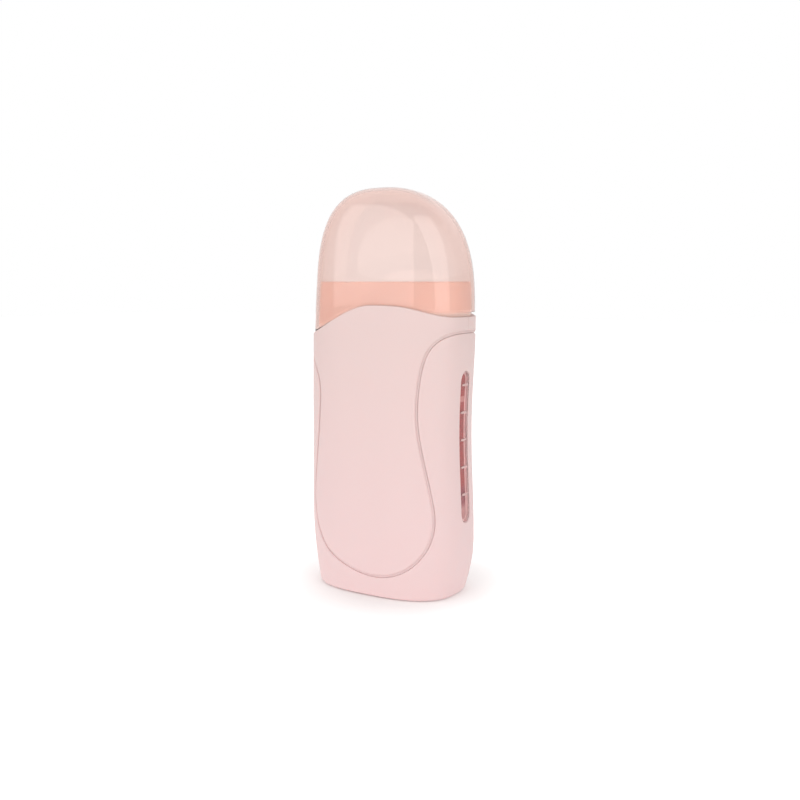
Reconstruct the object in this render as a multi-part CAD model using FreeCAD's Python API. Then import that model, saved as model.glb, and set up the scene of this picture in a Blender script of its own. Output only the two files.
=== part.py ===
import FreeCAD, Part
import math
import os

# Roll-on wax heater, in millimetres. The origin is the centre of the base, on the surface that
# the heater stands on. +Z is up, -Y is the front panel and +X is the side with the level window.

os.makedirs("parts", exist_ok=True)
Vector = FreeCAD.Vector
LEFT = -1
RIGHT = 1

# ---------------------------------------------------------------- outer form of the body
OVERALL_HEIGHT = 185.0
BODY_HALF_WIDTH = 39.25        # at the belly, on the window's side
BODY_HALF_DEPTH = 24.0
SQUARENESS = 2.75              # exponent of the plan section, between an ellipse and a rectangle
FOOT_PROUD = 0.5               # the frame's underside above the table
BASE_HALF_WIDTH = 34.9
BASE_HALF_DEPTH = 23.0
BASE_EDGE_RADIUS = 0.9
LEFT_BELLY_HEIGHT = 37.0
RIGHT_BELLY_HEIGHT = 24.0
LEFT_BELLY_INSET = 0.4
WAIST_HEIGHT = 78.0
LEFT_WAIST_INSET = 0.85
RIGHT_WAIST_INSET = 1.75
SHOULDER_HEIGHT = 124.0
LEFT_SHOULDER_INSET = 1.35
RIGHT_SHOULDER_INSET = 0.2

# ---------------------------------------------------------------- upper edge of the body, a wave
LIP_LEFT = 118.4
LIP_CREST = 132.2
LIP_RIGHT = 127.1
LIP_CREST_X = 3.0
LIP_FALL = 1.7                 # how late the wave falls on the right

# ---------------------------------------------------------------- covers, side frame and groove
COVER_WALL = 1.8
FRAME_WALL = 1.8
FRAME_FLOOR = 2.0
BAND_HEIGHT = 6.5              # of the covers, above the arms of the side frame
GROOVE_WIDTH = 1.2
GROOVE_DEPTH = 0.9
FIT = 0.1                      # moulded parts that stay together
COVER_PARTING = 0.16
LEDGE_WIDTH = 2.0
LEDGE_THICKNESS = 1.2
RIM_WIDTH = 1.6                # thick rim of the frame beyond the groove
PANEL_BOTTOM = 10.3            # lowest point of the groove
# The strip of side frame beside the panel: height and width of the strip, from the top down
RIGHT_STRIP = ((115.4, 7.7), (105.5, 11.7), (95.0, 12.8), (82.0, 12.8), (66.0, 10.7), (47.3, 7.8),
               (35.5, 7.2), (24.5, 10.3))
LEFT_STRIP = ((103.0, 8.0), (96.0, 11.1), (85.0, 11.4), (66.0, 9.3), (47.0, 7.2), (34.0, 7.9),
              (25.0, 11.2))
# The bottom of the groove, right to left: distance from the middle and rise over its lowest point
PANEL_FOOT = ((17.0, 2.7), (1.9, 0.0), (-13.2, 3.9), (-22.0, 8.7))
# The groove's line goes on beyond the body, and rises there
GROOVE_END_RIGHT, GROOVE_END_LEFT = 1.0, 4.0

# ---------------------------------------------------------------- lid
LID_WALL = 1.4
LID_GAP = 0.35                 # between the lid's edge and the body's lip
FINGER_GAP = 1.8               # the wider gap at the right end
FINGER_START = 27.0
LID_HALF_DEPTH = 23.4
LID_LEFT = 36.0
LID_RIGHT = 38.75
LID_FLARE = 0.05               # of the left end, for each millimetre below the flare's top
FLARE_TOP = 142.0
DOME_BASE = 128.0
DOME_LEAN = -3.7               # the crown stands to the left of the middle
WIDTH_RISE, WIDTH_ROUND = 2.71, 2.48
DEPTH_RISE, DEPTH_ROUND = 4.2, 2.4
LID_FIT = 0.3
LID_LIFT = 30.0
# Where the dome's sections lie, in degrees, closer together towards the crown
DOME_ANGLES = (0, 12, 24, 36, 47, 57, 65, 72, 78, 82, 86)

# ---------------------------------------------------------------- mouth collar and cartridge well
COLLAR_TOP = 142.5
COLLAR_WALL = 1.5
COLLAR_PLATE = 2.0
COLLAR_EDGE_RADIUS = 0.8
COLLAR_FIT = 0.15
WELL_WIDTH = 53.0              # inside, for a standard oval cartridge
WELL_DEPTH = 32.0
WELL_CORNER = 8.0
WELL_WALL = 1.5
WELL_FLOOR = 2.0
WELL_UNDERSIDE = 25.5
WELL_Y = -1.0
SPIGOT_LENGTH = 5.0
SPIGOT_WALL = 1.0
WELL_POST_X, WELL_POST_Y = 22.0, 10.5
WELL_POST_WIDTH, WELL_POST_LENGTH = 2.0, 5.0

# ---------------------------------------------------------------- level window
WINDOW_LOW = 34.5
WINDOW_HIGH = 103.0
WINDOW_WIDTH = 8.7
WINDOW_SUNK = 0.4
LENS_WALL = 2.8
LENS_FLANGE = 1.0
MARK_COUNT = 5
MARK_FIRST = 47.3
MARK_SPACING = 12.4
MARK_HEIGHT = 1.0
MARK_WIDTH = 5.4
MARK_PROUD = 0.2
WELL_SLOT_WIDTH = 7.0

# ---------------------------------------------------------------- heater on the back of the well
PLATE_WIDTH, PLATE_HEIGHT = 34.0, 70.0
PLATE_CENTRE = 75.0
PLATE_MARGIN = 3.0
PLATE_FLANGE = 1.2
PLATE_FIT = 0.15
HOOK_HEIGHT = 5.0
HOOK_THICKNESS = 1.2
HOOK_GRIP = 0.8
HOOK_SPREAD = 26.0
PTC_WIDTH, PTC_HEIGHT, PTC_THICKNESS = 16.0, 24.0, 1.6
ELECTRODE_THICKNESS = 0.3
ELECTRODE_TAB = 4.0
FILM_THICKNESS = 0.15
CLAMP_THICKNESS = 0.7
CLAMP_HEIGHT = 14.0
CLAMP_EAR = 5.0
SMALL_SCREW_RADIUS = 1.0
SMALL_HEAD_RADIUS = 1.7
SMALL_HEAD_HEIGHT = 1.1
SMALL_SCREW_LENGTH = 2.6
SLOT_DEPTH, SLOT_HALF_WIDTH = 0.4, 0.25
SCREW_FIT = 0.05
THERMOSTAT_WIDTH, THERMOSTAT_HEIGHT, THERMOSTAT_THICKNESS = 15.0, 7.5, 3.2
THERMOSTAT_CENTRE = 103.0
THERMOSTAT_CORNER = 1.2
LUG_HALF_WIDTH, LUG_THICKNESS, LUG_LENGTH = 1.2, 0.4, 2.5
FUSE_RADIUS, FUSE_LENGTH = 1.3, 10.0
FUSE_X, FUSE_CENTRE = -13.5, 50.0
STUB_RADIUS, STUB_LENGTH = 0.4, 2.0
STRAP_THICKNESS = 0.5
STRAP_HEIGHT = 4.0

# ---------------------------------------------------------------- mains inlet in the rear cover
INLET_HEIGHT = 17.6            # of its centre line
INLET_WIDTH, INLET_OPENING = 16.6, 9.0
INLET_WALL = 1.0
INLET_RECESS = 11.0
INLET_BACK = 4.5               # solid block behind the recess
INLET_SUNK = 0.35
INLET_WING = 1.5
INLET_WING_THICKNESS = 1.2
INLET_POST_HALF_WIDTH = 5.5    # the post under the inlet's back end
INLET_POST_SETBACK = 1.0
STOP_HALF_WIDTH, STOP_THICKNESS = 2.1, 2.0
PIN_RADIUS, PIN_SPACING = 1.2, 8.6
PIN_TAIL = 4.0
PIN_SUNK = 1.5

# ---------------------------------------------------------------- indicator behind the window
BOARD_HALF_WIDTH = 5.4
BOARD_LOW, BOARD_HIGH = 29.0, 46.0
BOARD_X = 30.2
BOARD_THICKNESS = 1.0
RIB_THICKNESS = 1.2
LED_HEIGHT = 38.5
LED_RADIUS, LED_LENGTH = 1.5, 4.0
LED_FLANGE = 0.35
RESISTOR_RADIUS, RESISTOR_LENGTH = 1.1, 6.0
RESISTOR_HEIGHT = 32.5
DIODE_RADIUS, DIODE_LENGTH = 0.9, 4.0
DIODE_HEIGHT = 43.5

# ---------------------------------------------------------------- leads, screws and feet
LEAD_RADIUS = 0.7
LEAD_BEND = 2.2
TAB_LAP = 3.0                  # of a lead along an electrode's tab
FUSE_LEAD_STRAIGHT = 3.0
FUSE_LEAD_CLEAR, THERMOSTAT_LEAD_CLEAR = 2.5, 3.0
THIN_LEAD_RADIUS = 0.5
THIN_LEAD_Y = 2.0
THIN_LEAD_RISE = 3.0           # of its end above the foot of the board
THIN_LEAD_CLEAR = 3.2
UPPER_SCREW_X = 32.0
UPPER_SCREW_LEFT = 111.5
UPPER_SCREW_RIGHT = 121.8
LOWER_SCREW_X = 16.0
LOWER_SCREW_HEIGHT = 20.4
BOSS_RADIUS = 3.6
SCREW_RADIUS = 1.25
SCREW_HEAD_RADIUS = 2.4
SCREW_HEAD_HEIGHT = 1.8
SCREW_LENGTH = 14.0
HOLE_SPARE = 1.0               # of a blind hole beyond the screw's tip
HEAD_EDGE_RADIUS = 0.5
CROSS_ARM, CROSS_HALF_WIDTH, CROSS_DEPTH = 1.5, 0.35, 0.9
SCREW_SEAT_Y = 6.0
RECESS_RADIUS = 2.7
FOOT_RADIUS = 3.5
FOOT_SUNK = 1.0
FOOT_X, FOOT_Y = 22.0, 11.0

# ---------------------------------------------------------------- places that several pieces share
REACH = 2.0 * BODY_HALF_WIDTH  # beyond the body on every side
CEILING = OVERALL_HEIGHT + LID_LIFT
UNDERSIDE = FOOT_PROUD
FLOOR_TOP = FOOT_PROUD + FRAME_FLOOR
LEDGE_INSET = COVER_WALL + FIT / 2
WELL_TOP = COLLAR_TOP - COLLAR_PLATE - FIT
WELL_BACK = WELL_Y + WELL_DEPTH / 2 + WELL_WALL
FLANGE_FACE = WELL_BACK + PLATE_FIT / 3 + PLATE_FLANGE
CROSS_SCREWS = ((-UPPER_SCREW_X, UPPER_SCREW_LEFT), (UPPER_SCREW_X, UPPER_SCREW_RIGHT),
                (-LOWER_SCREW_X, LOWER_SCREW_HEIGHT), (LOWER_SCREW_X, LOWER_SCREW_HEIGHT))
SECTION_POINTS = 24
SECTION_STEP = 12.5
GROOVE_SAMPLES = 36


# ---------------------------------------------------------------- profiles
def wave(low, high, share):
    """A level change from low to high, flat at both ends, as half a cosine wave."""
    share = min(max(share, 0.0), 1.0)
    return low + (high - low) * (1 - math.cos(math.pi * share)) / 2


def body_half_width(height, side):
    """The body seen from the front: out to the belly, in to the waist and out to the shoulder."""
    left = side == LEFT
    belly_height = LEFT_BELLY_HEIGHT if left else RIGHT_BELLY_HEIGHT
    belly = BODY_HALF_WIDTH - (LEFT_BELLY_INSET if left else 0.0)
    waist = BODY_HALF_WIDTH - (LEFT_WAIST_INSET if left else RIGHT_WAIST_INSET)
    shoulder = BODY_HALF_WIDTH - (LEFT_SHOULDER_INSET if left else RIGHT_SHOULDER_INSET)
    if height < belly_height:
        share = (height - UNDERSIDE) / (belly_height - UNDERSIDE)
        return BASE_HALF_WIDTH + (belly - BASE_HALF_WIDTH) * math.sin(math.pi / 2 * share)
    if height < WAIST_HEIGHT:
        return wave(belly, waist, (height - belly_height) / (WAIST_HEIGHT - belly_height))
    return wave(waist, shoulder, (height - WAIST_HEIGHT) / (SHOULDER_HEIGHT - WAIST_HEIGHT))


def body_half_depth(height):
    """The body seen from the side: it widens from the base to the belly and then stays even."""
    share = min((height - UNDERSIDE) / (RIGHT_BELLY_HEIGHT - UNDERSIDE), 1.0)
    return BASE_HALF_DEPTH + (BODY_HALF_DEPTH - BASE_HALF_DEPTH) * math.sin(math.pi / 2 * share)


def smooth_step(share):
    """Zero to one, flat at both ends."""
    share = min(max(share, 0.0), 1.0)
    return share * share * (3 - 2 * share)


def lip_height(x):
    """The wavy upper edge of the body: low at the left, highest near the middle, lower at the right."""
    left_end = LIP_CREST_X + BODY_HALF_WIDTH
    if x < LIP_CREST_X:
        return LIP_CREST - (LIP_CREST - LIP_LEFT) * smooth_step((LIP_CREST_X - x) / left_end)
    share = min((x - LIP_CREST_X) / (BODY_HALF_WIDTH - LIP_CREST_X), 1.0)
    return LIP_CREST - (LIP_CREST - LIP_RIGHT) * smooth_step(share ** LIP_FALL)


def lid_edge_height(x):
    """The lid's lower edge follows the lip and opens into a finger gap at the right end."""
    share = (x - FINGER_START) / (BODY_HALF_WIDTH - FINGER_START)
    return lip_height(x) + LID_GAP + (FINGER_GAP - LID_GAP) * smooth_step(share)


def dome_sizes(height, inset):
    """Half widths, half depth and lean of the lid at a height; the inset moves every face inwards."""
    rise = OVERALL_HEIGHT - DOME_BASE - inset
    share = min(max((height - DOME_BASE) / rise, 0.0), 1.0)
    width = (1 - share ** WIDTH_RISE) ** (1 / WIDTH_ROUND)
    depth = (1 - share ** DEPTH_RISE) ** (1 / DEPTH_ROUND)
    flare = LID_FLARE * max(FLARE_TOP - height, 0.0)
    left = (LID_LEFT + flare - inset) * width
    right = (LID_RIGHT - inset) * width
    return left, right, (LID_HALF_DEPTH - inset) * depth, DOME_LEAN * share ** 3


# ---------------------------------------------------------------- shared shapes
def smooth_curve(points, closed=False):
    """Smooth curve through points."""
    curve = Part.BSplineCurve()
    curve.interpolate(points, PeriodicFlag=closed)
    return curve


def section(left, right, depth, height, centre_x=0.0):
    """Plan section: a superellipse, which starts and ends at the middle of the left end."""
    points = []
    for step in range(SECTION_POINTS):
        angle = math.pi + 2 * math.pi * step / SECTION_POINTS
        across, along = math.cos(angle), math.sin(angle)
        reach = (abs(across) ** SQUARENESS + abs(along) ** SQUARENESS) ** (-1 / SQUARENESS)
        half_width = right if across > 0 else left
        points.append(Vector(centre_x + half_width * across * reach, depth * along * reach, height))
    return Part.Wire(smooth_curve(points, closed=True).toShape())


def body_form(inset, low=UNDERSIDE):
    """The body's outer form from a height upwards, with every side moved inwards by the inset."""
    high = LIP_CREST + BAND_HEIGHT
    count = math.ceil((high - low) / SECTION_STEP)
    sections = []
    for step in range(count + 1):
        height = low + (high - low) * step / count
        left, right = body_half_width(height, LEFT), body_half_width(height, RIGHT)
        sections.append(section(left - inset, right - inset, body_half_depth(height) - inset, height))
    return Part.makeLoft(sections, True, False)


def dome_form(inset, low):
    """The lid's outer form from a height upwards, with every face moved inwards by the inset."""
    top = OVERALL_HEIGHT - inset
    last = math.sin(math.radians(DOME_ANGLES[-1])) ** (2 / WIDTH_RISE)
    heights = [low, (low + DOME_BASE) / 2]
    for angle in DOME_ANGLES:
        share = math.sin(math.radians(angle)) ** (2 / WIDTH_RISE)
        heights.append(DOME_BASE + (top - DOME_BASE) * share)
    sections = []
    for height in heights:
        left, right, depth, lean = dome_sizes(height, inset)
        stretched = DOME_BASE + (height - DOME_BASE) / last if height > DOME_BASE else height
        sections.append(section(left, right, depth, stretched, lean))
    return Part.makeLoft(sections, True, False)


def box(low, high):
    """Box between two corners."""
    size = [high[axis] - low[axis] for axis in range(3)]
    return Part.makeBox(size[0], size[1], size[2], Vector(*low))


def rod(radius, start, end):
    """Round bar between two points."""
    along = Vector(*end) - Vector(*start)
    return Part.makeCylinder(radius, along.Length, Vector(*start), along)


def rounded_column(width, depth, corner, low, high, centre_y=0.0):
    """Upright column with a rounded rectangular section."""
    column = box((-width / 2, centre_y - depth / 2, low), (width / 2, centre_y + depth / 2, high))
    upright = [edge for edge in column.Edges if abs(edge.tangentAt(edge.FirstParameter).z) > 0.9]
    return column.makeFillet(corner, upright)


def slab_along_y(edges, front, back):
    """Outline in the X-Z plane, made a slab between two depths."""
    wire = Part.Wire(Part.__sortEdges__(edges))
    face = Part.Face(wire)
    face.translate(Vector(0, front, 0))
    return face.extrude(Vector(0, back - front, 0))


def above(curve_points, front, back):
    """Everything above a curve that crosses the body from side to side."""
    curve = smooth_curve(curve_points).toShape()
    first, last = curve_points[0], curve_points[-1]
    top_first, top_last = Vector(first.x, 0, CEILING), Vector(last.x, 0, CEILING)
    sides = [Part.LineSegment(last, top_last).toShape(), Part.LineSegment(top_last, top_first).toShape(),
             Part.LineSegment(top_first, first).toShape()]
    return slab_along_y([curve] + sides, front, back)


def above_edge(height_at, front=-REACH, back=REACH):
    """Everything above a wavy edge."""
    span = BODY_HALF_WIDTH + BAND_HEIGHT
    samples = 18
    points = []
    for step in range(samples + 1):
        x = -span + 2 * span * step / samples
        points.append(Vector(x, 0, height_at(x)))
    return above(points, front, back)


def groove_curve():
    """Centre line of the groove: down the right side, round the panel's foot and up the left side."""
    outside = BODY_HALF_WIDTH + BAND_HEIGHT
    points = [Vector(outside, 0, LIP_RIGHT - BAND_HEIGHT + GROOVE_END_RIGHT)]
    points.append(Vector(BODY_HALF_WIDTH, 0, LIP_RIGHT - BAND_HEIGHT))
    for height, strip in RIGHT_STRIP:
        points.append(Vector(body_half_width(height, RIGHT) - strip, 0, height))
    for x, rise in PANEL_FOOT:
        points.append(Vector(x, 0, PANEL_BOTTOM + rise))
    for height, strip in reversed(LEFT_STRIP):
        points.append(Vector(strip - body_half_width(height, LEFT), 0, height))
    points.append(Vector(LEFT_BELLY_INSET - BODY_HALF_WIDTH, 0, LIP_LEFT - BAND_HEIGHT))
    points.append(Vector(-outside, 0, LIP_LEFT - BAND_HEIGHT + GROOVE_END_LEFT))
    return smooth_curve(points)


def panel_region(offset, front=-REACH, back=REACH):
    """Everything inside and above the groove, moved outwards from its centre line by the offset."""
    centre = groove_curve()
    points = []
    for step in range(GROOVE_SAMPLES + 1):
        share = step / GROOVE_SAMPLES
        at = centre.FirstParameter + (centre.LastParameter - centre.FirstParameter) * share
        along = centre.tangent(at)[0]
        points.append(centre.value(at) + Vector(-along.z, 0, along.x) * offset)
    return above(points, front, back)


def window_column(margin, low_x, high_x):
    """Upright stadium, seen along X: the shape of the level window with a margin round it."""
    radius = WINDOW_WIDTH / 2
    low_centre, high_centre = WINDOW_LOW + radius, WINDOW_HIGH - radius
    block = box((low_x, -radius - margin, low_centre), (high_x, radius + margin, high_centre))
    for height in (low_centre, high_centre):
        block = block.fuse(rod(radius + margin, (low_x, 0, height), (high_x, 0, height)))
    return block.removeSplitter()


def stadium_along_y(width, height, centre_height, front, back):
    """Lying stadium, seen along Y: the shape of the mains inlet."""
    radius = height / 2
    reach = width / 2 - radius
    block = box((-reach, front, centre_height - radius), (reach, back, centre_height + radius))
    for x in (-reach, reach):
        block = block.fuse(rod(radius, (x, front, centre_height), (x, back, centre_height)))
    return block.removeSplitter()


def lead(route, radius):
    """Insulated wire along straight runs joined by tangent arcs."""
    corners = [Vector(*point) for point in route]
    edges = []
    start = corners[0]
    for before, corner, after in zip(corners, corners[1:], corners[2:]):
        inward = (before - corner).normalize()
        onward = (after - corner).normalize()
        half_turn = inward.getAngle(onward) / 2
        setback = LEAD_BEND / math.tan(half_turn)
        to_centre = (inward + onward).normalize()
        arc_start = corner + inward * setback
        arc_end = corner + onward * setback
        middle = corner + to_centre * (LEAD_BEND / math.sin(half_turn) - LEAD_BEND)
        edges.append(Part.LineSegment(start, arc_start).toShape())
        edges.append(Part.Arc(arc_start, middle, arc_end).toShape())
        start = arc_end
    edges.append(Part.LineSegment(start, corners[-1]).toShape())
    path = Part.Wire(edges)
    profile = Part.Wire(Part.makeCircle(radius, corners[0], corners[1] - corners[0]))
    return path.makePipeShell([profile], True, False)


def cut_all(shape, tools):
    """Shape with every tool taken away."""
    for tool in tools:
        shape = shape.cut(tool)
    return shape


def fuse_all(shape, others):
    """Shape joined with every other one."""
    for other in others:
        shape = shape.fuse(other)
    return shape


def save(name, shape):
    """Write one piece, or one group of like pieces."""
    solids = shape.Solids
    if len(solids) == 1:
        shape = solids[0]
    valid = all(solid.isValid() for solid in solids)
    print(name, len(solids), "solid(s)", round(shape.Volume, 1), "mm3", "valid" if valid else "NOT VALID")
    shape.exportStep("parts/" + name + ".step")


# ---------------------------------------------------------------- collar form, shared by its neighbours
def collar_form(margin, drop=0.0):
    """The collar's outer form: the lid's inside less the running gap, above a slanting lower edge."""
    inset = LID_WALL + LID_FIT - margin
    low = UPPER_SCREW_LEFT - BOSS_RADIUS
    sections = []
    for height in (low, (low + DOME_BASE) / 2, DOME_BASE, COLLAR_TOP + margin):
        left, right, depth, lean = dome_sizes(height, inset)
        sections.append(section(left, right, depth, height, lean))
    form = Part.makeLoft(sections, True, False)
    slope = (UPPER_SCREW_RIGHT - UPPER_SCREW_LEFT) / (2 * UPPER_SCREW_X)
    middle = (UPPER_SCREW_RIGHT + UPPER_SCREW_LEFT) / 2 - drop
    corners = [Vector(-REACH, 0, middle - slope * REACH), Vector(REACH, 0, middle + slope * REACH),
               Vector(REACH, 0, CEILING), Vector(-REACH, 0, CEILING)]
    edges = [Part.LineSegment(corners[at], corners[(at + 1) % 4]).toShape() for at in range(4)]
    return form.common(slab_along_y(edges, -REACH, REACH))


# ---------------------------------------------------------------- the casing
def side_frame(body):
    """U-shaped frame in one piece: base, both arms, ledges for the covers, posts and ribs."""
    shell = body.cut(body_form(LEDGE_INSET + LEDGE_THICKNESS, FLOOR_TOP))
    groove_edge = GROOVE_WIDTH / 2
    seat = panel_region(groove_edge).cut(body_form(LEDGE_INSET))
    opening = panel_region(groove_edge - LEDGE_WIDTH)
    thin = body_form(FRAME_WALL, FLOOR_TOP).cut(panel_region(groove_edge + RIM_WIDTH))
    window = window_column(0, 0, REACH)
    boss_space = [rod(BOSS_RADIUS + FIT, (x, 0, z), (x, end, z))
                  for x, z in CROSS_SCREWS for end in (-REACH, REACH)]
    frame = cut_all(shell, [seat, opening, thin, window, collar_form(COLLAR_FIT, FIT), inlet_space()] + boss_space)
    inner = body_form(FRAME_WALL / 2)
    root = UNDERSIDE + FRAME_FLOOR / 2
    half_width, half_length = WELL_POST_WIDTH / 2, WELL_POST_LENGTH / 2
    posts = []
    for x in (-WELL_POST_X, WELL_POST_X):
        for y in (-WELL_POST_Y, WELL_POST_Y):
            posts.append(box((x - half_width, y - half_length, root),
                             (x + half_width, y + half_length, WELL_UNDERSIDE - FIT / 2)))
    inlet_low = INLET_HEIGHT - INLET_OPENING / 2 - INLET_WALL
    back = inlet_back()
    posts.append(box((-INLET_POST_HALF_WIDTH, back + INLET_POST_SETBACK, root),
                     (INLET_POST_HALF_WIDTH, inlet_mouth() - INLET_RECESS, inlet_low - FIT / 2)))
    posts.append(box((-STOP_HALF_WIDTH, back - FIT - STOP_THICKNESS, root),
                     (STOP_HALF_WIDTH, back - FIT, INLET_HEIGHT)))
    rib_y = BOARD_HALF_WIDTH + FIT / 2
    for low_y, high_y in ((-rib_y - RIB_THICKNESS, -rib_y), (rib_y, rib_y + RIB_THICKNESS)):
        rib = box((BOARD_X - FIT, low_y, BOARD_LOW - RIB_THICKNESS), (REACH, high_y, BOARD_HIGH))
        posts.append(rib.common(inner))
    shelf = box((BOARD_X + FIT, -rib_y - RIB_THICKNESS, BOARD_LOW - RIB_THICKNESS),
                (REACH, rib_y + RIB_THICKNESS, BOARD_LOW - FIT / 2))
    posts.append(shelf.common(inner))
    frame = fuse_all(frame, posts)
    feet = [rod(FOOT_RADIUS + FIT / 2, (x, y, 0), (x, y, UNDERSIDE + FOOT_SUNK))
            for x in (-FOOT_X, FOOT_X) for y in (-FOOT_Y, FOOT_Y)]
    return cut_all(frame, feet)


def cover(body, side):
    """Front or rear cover: the waisted panel and the band above it, with four screw bosses."""
    front, back = (-REACH, -COVER_PARTING / 2) if side < 0 else (COVER_PARTING / 2, REACH)
    groove_edge = GROOVE_WIDTH / 2
    shell = body.cut(body_form(COVER_WALL, UNDERSIDE)).common(panel_region(groove_edge - FIT, front, back))
    groove = panel_region(GROOVE_WIDTH).cut(panel_region(-groove_edge)).cut(body_form(GROOVE_DEPTH))
    shell = shell.cut(groove).cut(above_edge(lip_height))
    inner = body_form(COVER_WALL / 2)
    bosses = [rod(BOSS_RADIUS, (x, side * COVER_PARTING / 2, z), (x, side * REACH, z)).common(inner)
              for x, z in CROSS_SCREWS]
    return fuse_all(shell, bosses)


def front_cover(body):
    """Front cover: its bosses have blind holes for the screws."""
    depth = SCREW_LENGTH - SCREW_SEAT_Y + HOLE_SPARE
    holes = [rod(SCREW_RADIUS + SCREW_FIT, (x, 0, z), (x, -depth, z)) for x, z in CROSS_SCREWS]
    return cut_all(cover(body, LEFT), holes)


def rear_cover(body):
    """Rear cover: sunk holes for the screw heads and an opening for the mains inlet."""
    cuts = []
    for x, z in CROSS_SCREWS:
        cuts.append(rod(SCREW_RADIUS + SCREW_FIT, (x, 0, z), (x, SCREW_SEAT_Y, z)))
        cuts.append(rod(RECESS_RADIUS, (x, SCREW_SEAT_Y, z), (x, REACH, z)))
    return cut_all(cover(body, RIGHT), cuts + [inlet_space()])


def mouth_collar():
    """Neck that the lid fits over, with the mouth of the cartridge well in its flat top."""
    form = collar_form(0)
    rim = [edge for edge in form.Edges if edge.BoundBox.ZMin > COLLAR_TOP - FIT]
    form = form.makeFillet(COLLAR_EDGE_RADIUS, rim)
    plate_low = COLLAR_TOP - COLLAR_PLATE
    below_plate = box((-REACH, -REACH, 0), (REACH, REACH, plate_low))
    collar = form.cut(collar_form(-COLLAR_WALL, REACH).common(below_plate))
    width, depth = WELL_WIDTH + 2 * (WELL_WALL + FIT), WELL_DEPTH + 2 * (WELL_WALL + FIT)
    hole = rounded_column(width, depth, WELL_CORNER + WELL_WALL, 0, plate_low, WELL_Y)
    spigot = rounded_column(width + 2 * SPIGOT_WALL, depth + 2 * SPIGOT_WALL,
                            WELL_CORNER + WELL_WALL + SPIGOT_WALL, plate_low - SPIGOT_LENGTH,
                            COLLAR_TOP - COLLAR_PLATE / 2, WELL_Y)
    collar = collar.fuse(spigot.common(form)).cut(hole)
    collar = collar.cut(rounded_column(WELL_WIDTH, WELL_DEPTH, WELL_CORNER, 0, CEILING, WELL_Y))
    saddles = [rod(BOSS_RADIUS + FIT / 2, (x, -REACH, z), (x, REACH, z)) for x, z in CROSS_SCREWS]
    return cut_all(collar, saddles)


def lid():
    """Clear domed lid with an even wall, cut to follow the lip of the body."""
    low = LIP_LEFT - BAND_HEIGHT
    shell = dome_form(0, low).cut(dome_form(LID_WALL, low - LID_WALL))
    return shell.common(above_edge(lid_edge_height))


def window_lens():
    """Clear strip in the right arm, with a flange inside and five raised level marks."""
    near = WELL_WIDTH / 2
    stem = window_column(-FIT, near, REACH).common(body_form(WINDOW_SUNK))
    flange = window_column(LENS_FLANGE, near, REACH).common(body_form(FRAME_WALL + FIT / 2))
    lens = stem.fuse(flange).cut(body_form(LENS_WALL))
    raised = body_form(WINDOW_SUNK - MARK_PROUD)
    root = BODY_HALF_WIDTH - RIGHT_WAIST_INSET - LENS_WALL / 2
    for step in range(MARK_COUNT):
        middle = MARK_FIRST + step * MARK_SPACING
        mark = box((root, -MARK_WIDTH / 2, middle - MARK_HEIGHT / 2),
                   (REACH, MARK_WIDTH / 2, middle + MARK_HEIGHT / 2))
        lens = lens.fuse(mark.common(raised))
    return lens


# ---------------------------------------------------------------- the cartridge well and its heater
def cartridge_well():
    """Deep oval pocket for the wax cartridge, open to the heater behind and to the window beside."""
    outside = 2 * WELL_WALL
    column = rounded_column(WELL_WIDTH + outside, WELL_DEPTH + outside, WELL_CORNER + WELL_WALL,
                            WELL_UNDERSIDE, WELL_TOP, WELL_Y)
    hollow = rounded_column(WELL_WIDTH, WELL_DEPTH, WELL_CORNER, WELL_UNDERSIDE + WELL_FLOOR, CEILING, WELL_Y)
    plate_hole = box((-PLATE_WIDTH / 2, WELL_Y, PLATE_CENTRE - PLATE_HEIGHT / 2),
                     (PLATE_WIDTH / 2, REACH, PLATE_CENTRE + PLATE_HEIGHT / 2))
    slot = box((0, -WELL_SLOT_WIDTH / 2, WINDOW_LOW), (REACH, WELL_SLOT_WIDTH / 2, WINDOW_HIGH))
    well = cut_all(column, [hollow, plate_hole, slot])
    flange_edge = PLATE_WIDTH / 2 + PLATE_MARGIN + PLATE_FIT
    root = WELL_BACK - 3 * WELL_WALL / 2
    tip = FLANGE_FACE + PLATE_FIT / 3
    for side in (LEFT, RIGHT):
        for height in (PLATE_CENTRE - HOOK_SPREAD, PLATE_CENTRE + HOOK_SPREAD):
            low, high = height - HOOK_HEIGHT / 2, height + HOOK_HEIGHT / 2
            near, far = sorted((side * flange_edge, side * (flange_edge + HOOK_THICKNESS)))
            arm = box((near, root, low), (far, tip + HOOK_THICKNESS, high))
            near, far = sorted((side * (flange_edge - HOOK_GRIP), side * (flange_edge + HOOK_THICKNESS)))
            barb = box((near, tip, low), (far, tip + HOOK_THICKNESS, high))
            well = well.fuse(arm.cut(hollow)).fuse(barb)
    return well


def heater_screw_places():
    """Centres of the small screws on the heater plate: two for the clamp, one for each strap."""
    ear = PTC_WIDTH / 2 + CLAMP_THICKNESS + CLAMP_EAR / 2 + 2 * FILM_THICKNESS
    strap = THERMOSTAT_WIDTH / 2 + STRAP_THICKNESS + CLAMP_EAR / 2 + FIT
    return ((-ear, PLATE_CENTRE), (ear, PLATE_CENTRE), (-strap, THERMOSTAT_CENTRE),
            (FUSE_X + FUSE_RADIUS + STRAP_THICKNESS + CLAMP_EAR / 2 + FIT, FUSE_CENTRE))


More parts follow.
